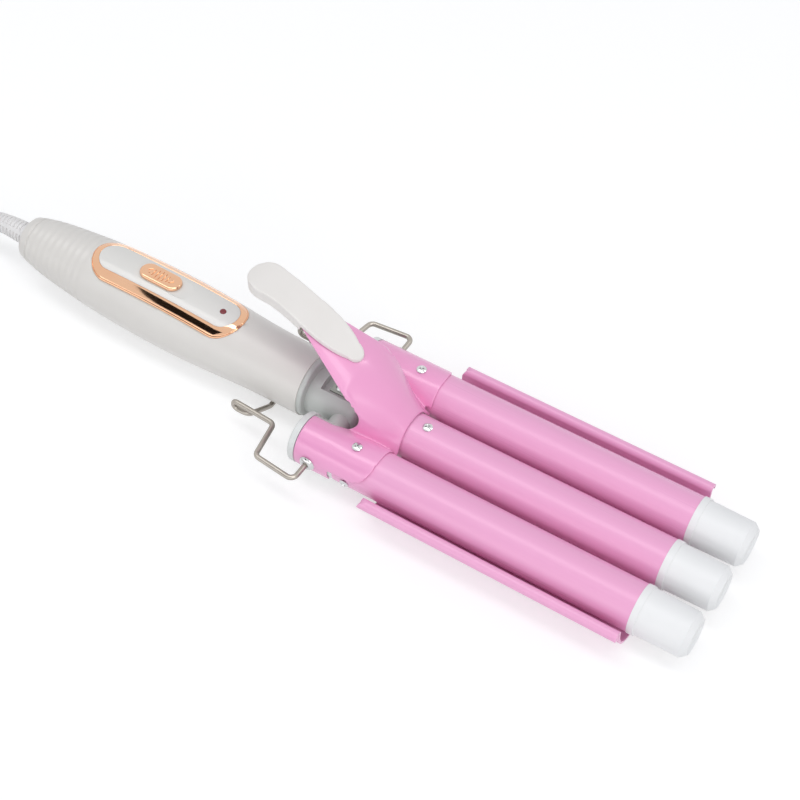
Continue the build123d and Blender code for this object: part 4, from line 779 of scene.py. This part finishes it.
# draw-in from the knob's outline and drop from its top, in millimetres
KNOB_PROFILE = (
    (0.55, 1.80),
    (0.00, 1.70),
    (0.10, 0.95),
    (0.25, 0.50),
    (0.55, 0.22),
    (1.00, 0.08),
    (1.80, 0.00),
    (3.20, -0.04),
)
RIB_PITCH = 2.0 * MM
RIB_WIDTH = 0.75 * MM
RIB_RISE = 0.45 * MM
RIB_LENGTHS = (3.6, 4.9, 5.6, 4.9, 3.6)
ARROW_REACH = 7.7 * MM
ARROW_ROOT = 5.6 * MM
ARROW_HALF_WIDTH = 1.5 * MM
ARROW_TIP_LENGTH = 0.96 * MM
ARROW_ROOT_HALF = 0.48 * MM
RELIEF_BEVEL = 0.18 * MM

seat_height = grip_radius(KNOB_CENTRE) + INLAY_PROUD
knob_top = seat_height + KNOB_HEIGHT
recess_outline = stadium(RECESS_LENGTH, RECESS_WIDTH_ACROSS)
recess_mesh = ring_mesh(
    [
        [on_grip(RECESS_CENTRE + s, y, seat_height - depth) for s, y in recess_outline]
        for depth in (RECESS_FLOOR, 2 * RECESS_FLOOR)
    ],
    lids=(0, 1),
)
new_piece("inlay_recess", recess_mesh, inlay_abs, "handle", "inlay_white")


def block(built, corners, low, high):
    """A prism between two heights over a plan that is given as stations and sides."""
    floor = [built.verts.new(on_grip(KNOB_CENTRE + s, y, low)) for s, y in corners]
    roof = [built.verts.new(on_grip(KNOB_CENTRE + s, y, high)) for s, y in corners]
    built.faces.new(roof)
    built.faces.new(floor[::-1])
    for index in range(len(corners)):
        after = (index + 1) % len(corners)
        built.faces.new((floor[index], floor[after], roof[after], roof[index]))


def knob_relief():
    """Ribs across the knob, with an arrowhead of two arms at each end."""
    built = bmesh.new()
    low, high = knob_top - RIB_RISE, knob_top + RIB_RISE
    middle = (len(RIB_LENGTHS) - 1) / 2
    for index, length in enumerate(RIB_LENGTHS):
        station = (index - middle) * RIB_PITCH
        s, y = RIB_WIDTH / 2, length * MM / 2
        block(built, [(station - s, -y), (station + s, -y), (station + s, y), (station - s, y)], low, high)
    for way in (1, -1):
        tip, root = way * ARROW_REACH, way * ARROW_ROOT
        for side in (1, -1):
            corners = [
                (tip, 0),
                (tip - way * ARROW_TIP_LENGTH, 0),
                (root - way * ARROW_ROOT_HALF, side * ARROW_HALF_WIDTH),
                (root + way * ARROW_ROOT_HALF, side * ARROW_HALF_WIDTH),
            ]
            block(built, corners, low, high)
    bmesh.ops.recalc_face_normals(built, faces=built.faces)
    mesh = bpy.data.meshes.new("relief")
    built.to_mesh(mesh)
    built.free()
    return mesh


knob_rings = []
for inset, drop in KNOB_PROFILE:
    outline = stadium(KNOB_LENGTH - 2 * inset * MM, KNOB_WIDTH - 2 * inset * MM)
    knob_rings.append([on_grip(KNOB_CENTRE + s, y, knob_top - drop * MM) for s, y in outline])
knob_mesh = ring_mesh(knob_rings, lids=(0, -1))
shade(knob_mesh)
new_piece("knob", knob_mesh, rose_gold, "switch", "rose_plate", "switch_knob")
knob_relief_mesh = applied(
    knob_relief(),
    ("BEVEL", {"width": RELIEF_BEVEL, "segments": 3, "limit_method": "ANGLE"}),
)
shade(knob_relief_mesh)
new_piece("knob_relief", knob_relief_mesh, rose_gold, "switch", "rose_plate")

LENS_RED = "#8E1F2C"
LENS_RED_DEEP = "#6A1A24"
LENS_ROUGHNESS = 0.12
LENS_IOR = 1.58
LENS_CLOUD = 1.2 * MM

lens_finish, lens_tree, lens_shader = new_finish("red_polycarbonate")
lens_place = add_node(lens_tree, "ShaderNodeTexCoord")
lens_drift = add_node(
    lens_tree, "ShaderNodeTexNoise", {"Vector": lens_place.outputs["Object"], "Scale": 1 / LENS_CLOUD}
)
lens_tint = add_node(
    lens_tree,
    "ShaderNodeMixRGB",
    {"Fac": lens_drift.outputs["Fac"], "Color1": linear(LENS_RED), "Color2": linear(LENS_RED_DEEP)},
)
lens_tree.links.new(lens_tint.outputs["Color"], lens_shader.inputs["Base Color"])
lens_shader.inputs["Roughness"].default_value = LENS_ROUGHNESS
lens_shader.inputs["IOR"].default_value = LENS_IOR
dress(lens_finish, "indicator_lens")


# ------------------------------------------------------------------------ inside the grip
# Behind the panel lie the slide switch, the circuit board with its lamp, and the bar that
# clamps the cord.  They are glass-filled nylon, glass epoxy and clear-coated parts.

black_nylon = worked_surface("black_nylon", "#2A2A2C", "#242426", 0.5, 0.5 * MM, 0.006 * MM, ior=1.53)
board_epoxy = worked_surface("glass_epoxy_board", "#2E6B45", "#28603D", 0.35, 0.6 * MM, 0.004 * MM)
lamp_epoxy = worked_surface("lamp_epoxy", "#C23A3A", "#B03333", 0.2, 1.0 * MM, 0.002 * MM)
dress(black_nylon, "power_switch", "cord_clamp")
dress(board_epoxy, "circuit_board")
dress(lamp_epoxy, "indicator_led")


# -------------------------------------------------------------------------- strain relief
# A tapering sleeve of soft white PVC.  Four rows of slots, staggered from row to row, let it
# bend, and smooth spines run between the rows.

RELIEF_LENGTH = 34.0 * MM
RELIEF_BEND_RADIUS = 58.0 * MM
RELIEF_ROOT_RADIUS = 5.4 * MM
RELIEF_TIP_RADIUS = 3.6 * MM
RELIEF_START = -9.0 * MM
RELIEF_STEPS = 280
RELIEF_TURNS = 72
SLOT_PITCH = 2.15 * MM
SLOT_WIDTH = 0.85 * MM
SLOT_DEPTH = 0.65 * MM
SLOT_EDGE = 0.16 * MM
SLOT_FIRST = -5.5 * MM
SLOT_LAST = 30.5 * MM
SLOT_HALF_ANGLE = 33.0
SLOT_END_ANGLE = 4.0
ROW_ANGLE = 90.0
RELIEF_FLAT_ANGLE = radians(40)


def eased(value):
    """Goes softly from 0 to 1 as the value does."""
    value = min(1.0, max(0.0, value))
    return value * value * (3 - 2 * value)


def slot_share(along, angle):
    """1 in a slot and 0 outside, at a length along the relief and an angle round it."""
    if not SLOT_FIRST < along < SLOT_LAST:
        return 0.0
    row = round(angle / ROW_ANGLE)
    off_row = abs(angle - ROW_ANGLE * row)
    phase = ((along - SLOT_FIRST) / SLOT_PITCH + 0.5 * (row % 2)) % 1.0
    off_slot = abs(phase - 0.5) * SLOT_PITCH
    in_width = eased((SLOT_WIDTH / 2 - off_slot) / SLOT_EDGE + 0.5)
    in_length = eased((SLOT_HALF_ANGLE - off_row) / SLOT_END_ANGLE + 0.5)
    return in_width * in_length


relief_rings = []
for step in range(RELIEF_STEPS + 1):
    along = RELIEF_START + (RELIEF_LENGTH - RELIEF_START) * step / RELIEF_STEPS
    turn = max(0.0, along) / RELIEF_BEND_RADIUS
    centre = on_grip(
        GRIP_LENGTH + min(0.0, along) + RELIEF_BEND_RADIUS * sin(turn),
        0,
        -RELIEF_BEND_RADIUS * (1 - cos(turn)),
    )
    outward = GRIP_REARWARD * sin(turn) + GRIP_UPWARD * cos(turn)
    plain = RELIEF_ROOT_RADIUS + (RELIEF_TIP_RADIUS - RELIEF_ROOT_RADIUS) * along / RELIEF_LENGTH
    ring = []
    for part in range(RELIEF_TURNS):
        angle = 360.0 * part / RELIEF_TURNS
        radius = plain - SLOT_DEPTH * slot_share(along, angle)
        side = Vector((0, sin(radians(angle)), 0))
        ring.append(centre + (side + outward * cos(radians(angle))) * radius)
    relief_rings.append(ring)
relief_mesh = ring_mesh(relief_rings, lids=(0, -1))
shade(relief_mesh, RELIEF_FLAT_ANGLE)
soft_pvc = worked_surface("soft_pvc", "#EDEBEA", "#E4E2E1", 0.42, 0.5 * MM, 0.005 * MM, ior=1.53)
new_piece("cord_relief", relief_mesh, soft_pvc, "handle", "cord_white", "strain_relief")
dress(soft_pvc, "cord_inner_end")


# ------------------------------------------------------------------------- cord and plug
# A round white PVC lead, 6 mm across.  It leaves the relief, comes down on the table and is
# wound up flat in two layers, with its two-pin plug beside the coil.

CORD_DIAMETER = 6.0 * MM
CORD_ROUTE = ((-0.22228, 0.0, 0.01471), (-0.24103, 0.0, 0.00305), (-0.262, 0.0, 0.00305))
CORD_TAIL = ((-0.262, -0.0945, 0.00925), (-0.243, -0.0945, 0.007), (-0.226, -0.0945, 0.007))
COIL_CENTRE = (-0.265, -0.04725)
COIL_OUTER_TURN = 47.25 * MM
COIL_INNER_TURN = 24.75 * MM
COIL_TURNS = 7.5
COIL_POINTS = 16
LOWER_LAYER = 3.05 * MM
UPPER_LAYER = 9.2 * MM


def coil_points():
    """Winds in along the table, climbs over half a turn, and winds out on top."""
    points = []
    count = int(COIL_TURNS * COIL_POINTS)
    for index in range(1, count):
        share = index / count
        inward = 1 - abs(2 * share - 1)
        radius = COIL_OUTER_TURN + (COIL_INNER_TURN - COIL_OUTER_TURN) * inward
        climb = eased((share - 0.5) * COIL_TURNS / 0.5 + 0.5)
        angle = pi / 2 + 2 * pi * COIL_TURNS * share
        height = LOWER_LAYER + (UPPER_LAYER - LOWER_LAYER) * climb
        points.append((COIL_CENTRE[0] + radius * cos(angle), COIL_CENTRE[1] + radius * sin(angle), height))
    return points


cord_data = bpy.data.curves.new("cord", "CURVE")
cord_data.dimensions = "3D"
cord_line = cord_data.splines.new("NURBS")
cord_points = list(CORD_ROUTE) + coil_points() + list(CORD_TAIL)
cord_line.points.add(len(cord_points) - 1)
for point, place in zip(cord_line.points, cord_points):
    point.co = (*place, 1.0)
cord_line.order_u = 3
cord_line.use_endpoint_u = True
cord_line.resolution_u = 6
cord_data.bevel_depth = CORD_DIAMETER / 2
cord_data.bevel_resolution = 6
cord_data.use_fill_caps = True
cord = bpy.data.objects.new("cord", cord_data)
bpy.context.scene.collection.objects.link(cord)
cord_data.materials.append(soft_pvc)
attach(cord, "handle")
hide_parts("cord_tube", "cord_coil")
plug_pvc = worked_surface("moulded_pvc", "#EAE9E7", "#E2E1DF", 0.4, 0.45 * MM, 0.008 * MM, ior=1.53)
pin_brass = worked_surface("plated_brass", "#D8C8A0", "#CBB98C", 0.2, 0.8 * MM, 0.004 * MM, metallic=1.0)
dress(plug_pvc, "mains_plug")
dress(pin_brass, "plug_pins")


# -------------------------------------------------------------------------------- studio
# A pale table under soft daylight.  One long softbox over the waver and a low strip in front of
# it make the two bands on every barrel; a square one fills the tips' side and a small one lies
# behind the ramp.  A black flag, seen only in gloss, darkens the near side of the panel's ring.

CAMERA_PLACE = (0.2796, -0.3884, 0.5950)
CAMERA_AZIMUTH = 32.60
CAMERA_ELEVATION = 50.43
CAMERA_LENS = 74.66
CAMERA_SENSOR = 36.0
FLOOR_HALF = 6.0
FLOOR_DROP = 0.2 * MM
FLOOR_COLOUR = "#EFEFEF"
FLOOR_SEEN_COLOUR = "#BCBCBC"
FLOOR_GLOW = 0.56
FLOOR_ROUGHNESS = 0.9
SKY_STRENGTH = 0.5
SKY_COLOUR = "#F6F9FF"
FLAG_BLACK = "#16110F"
FLAG_CENTRE = Vector((-0.362, -0.377, 0.419))
FLAG_ACROSS = Vector((0.798, -0.602, 0.0))
FLAG_UP = Vector((0.387, 0.513, 0.767))
# the flag's corners across and up its own plane, in millimetres
FLAG_CORNERS = ((-80, 78), (58, -134), (270, -134), (270, 170), (140, 78))


def backdrop_share(tree):
    """1 for the rays that show the background itself: to the camera, and in gloss and glass."""
    path = add_node(tree, "ShaderNodeLightPath")
    first = add_node(
        tree,
        "ShaderNodeMath",
        {0: path.outputs["Is Camera Ray"], 1: path.outputs["Is Glossy Ray"]},
        operation="MAXIMUM",
    )
    return add_node(
        tree,
        "ShaderNodeMath",
        {0: first.outputs[0], 1: path.outputs["Is Transmission Ray"]},
        operation="MAXIMUM",
    ).outputs[0]


floor_mesh = bpy.data.meshes.new("table")
floor_mesh.from_pydata(
    [(x * FLOOR_HALF, y * FLOOR_HALF, -FLOOR_DROP) for x, y in ((-1, -1), (1, -1), (1, 1), (-1, 1))],
    [],
    [(0, 1, 2, 3)],
)
table = bpy.data.objects.new("table", floor_mesh)
bpy.context.scene.collection.objects.link(table)
table_finish, table_tree, table_shader = new_finish("matt_white_table")
table_shader.inputs["Roughness"].default_value = FLOOR_ROUGHNESS
table_shader.inputs["Emission Color"].default_value = (1, 1, 1, 1)
table_seen = backdrop_share(table_tree)
glow = add_node(table_tree, "ShaderNodeMath", {0: table_seen, 1: FLOOR_GLOW}, operation="MULTIPLY")
table_tone = add_node(
    table_tree,
    "ShaderNodeMixRGB",
    {"Fac": table_seen, "Color1": linear(FLOOR_COLOUR), "Color2": linear(FLOOR_SEEN_COLOUR)},
)
table_tree.links.new(table_tone.outputs["Color"], table_shader.inputs["Base Color"])
table_tree.links.new(glow.outputs[0], table_shader.inputs["Emission Strength"])
floor_mesh.materials.append(table_finish)

flag_mesh = bpy.data.meshes.new("black_flag")
flag_mesh.from_pydata(
    [FLAG_CENTRE + (FLAG_ACROSS * across + FLAG_UP * up) * MM for across, up in FLAG_CORNERS],
    [],
    [tuple(range(len(FLAG_CORNERS)))],
)
flag = bpy.data.objects.new("black_flag", flag_mesh)
bpy.context.scene.collection.objects.link(flag)
flag_finish, _, flag_shader = new_finish("black_velvet_flag")
flag_shader.inputs["Base Color"].default_value = linear(FLAG_BLACK)
flag_shader.inputs["Roughness"].default_value = 1.0
flag_mesh.materials.append(flag_finish)
flag.visible_camera = False
flag.visible_diffuse = False
flag.visible_shadow = False

world = bpy.data.worlds.new("studio")
world.use_nodes = True
sky_tree = world.node_tree
sky = sky_tree.nodes["Background"]
sky_seen = backdrop_share(sky_tree)
sky_tone = add_node(
    sky_tree, "ShaderNodeMixRGB", {"Fac": sky_seen, "Color1": linear(SKY_COLOUR), "Color2": (1, 1, 1, 1)}
)
brightness = add_node(
    sky_tree, "ShaderNodeMapRange", {"Value": sky_seen, "To Min": SKY_STRENGTH, "To Max": 1.0}
)
sky_tree.links.new(sky_tone.outputs["Color"], sky.inputs["Color"])
sky_tree.links.new(brightness.outputs["Result"], sky.inputs["Strength"])
bpy.context.scene.world = world


def softbox(name, place, aim, size, power):
    """A soft lamp that faces a point and isn't itself in view."""
    lamp_data = bpy.data.lights.new(name, "AREA")
    lamp_data.shape = "RECTANGLE"
    lamp_data.size, lamp_data.size_y = size
    lamp_data.energy = power
    lamp = bpy.data.objects.new(name, lamp_data)
    lamp.location = place
    lamp.rotation_euler = (Vector(aim) - Vector(place)).to_track_quat("-Z", "Y").to_euler()
    lamp.visible_camera = False
    bpy.context.scene.collection.objects.link(lamp)


softbox("strip_over", (-0.1, -0.11, 1.25), (-0.1, 0, 0), (1.9, 0.34), 5.6)
softbox("strip_front", (-0.1, -1.14, 0.38), (-0.1, 0, 0.02), (1.9, 0.3), 2.4)
softbox("fill_tips", (0.9, -0.6, 0.9), (0.02, 0, 0.03), (0.8, 0.8), 3.6)
softbox("ramp_light", (0.60, 0.64, 0.88), (0.02, 0, 0.045), (0.12, 0.3), 0.6)

camera_data = bpy.data.cameras.new("view")
camera_data.lens = CAMERA_LENS
camera_data.sensor_width = CAMERA_SENSOR
camera = bpy.data.objects.new("view", camera_data)
camera.location = CAMERA_PLACE
camera.rotation_euler = (radians(90 - CAMERA_ELEVATION), 0, radians(CAMERA_AZIMUTH))
bpy.context.scene.collection.objects.link(camera)
bpy.context.scene.camera = camera
bpy.context.scene.view_settings.view_transform = "Standard"
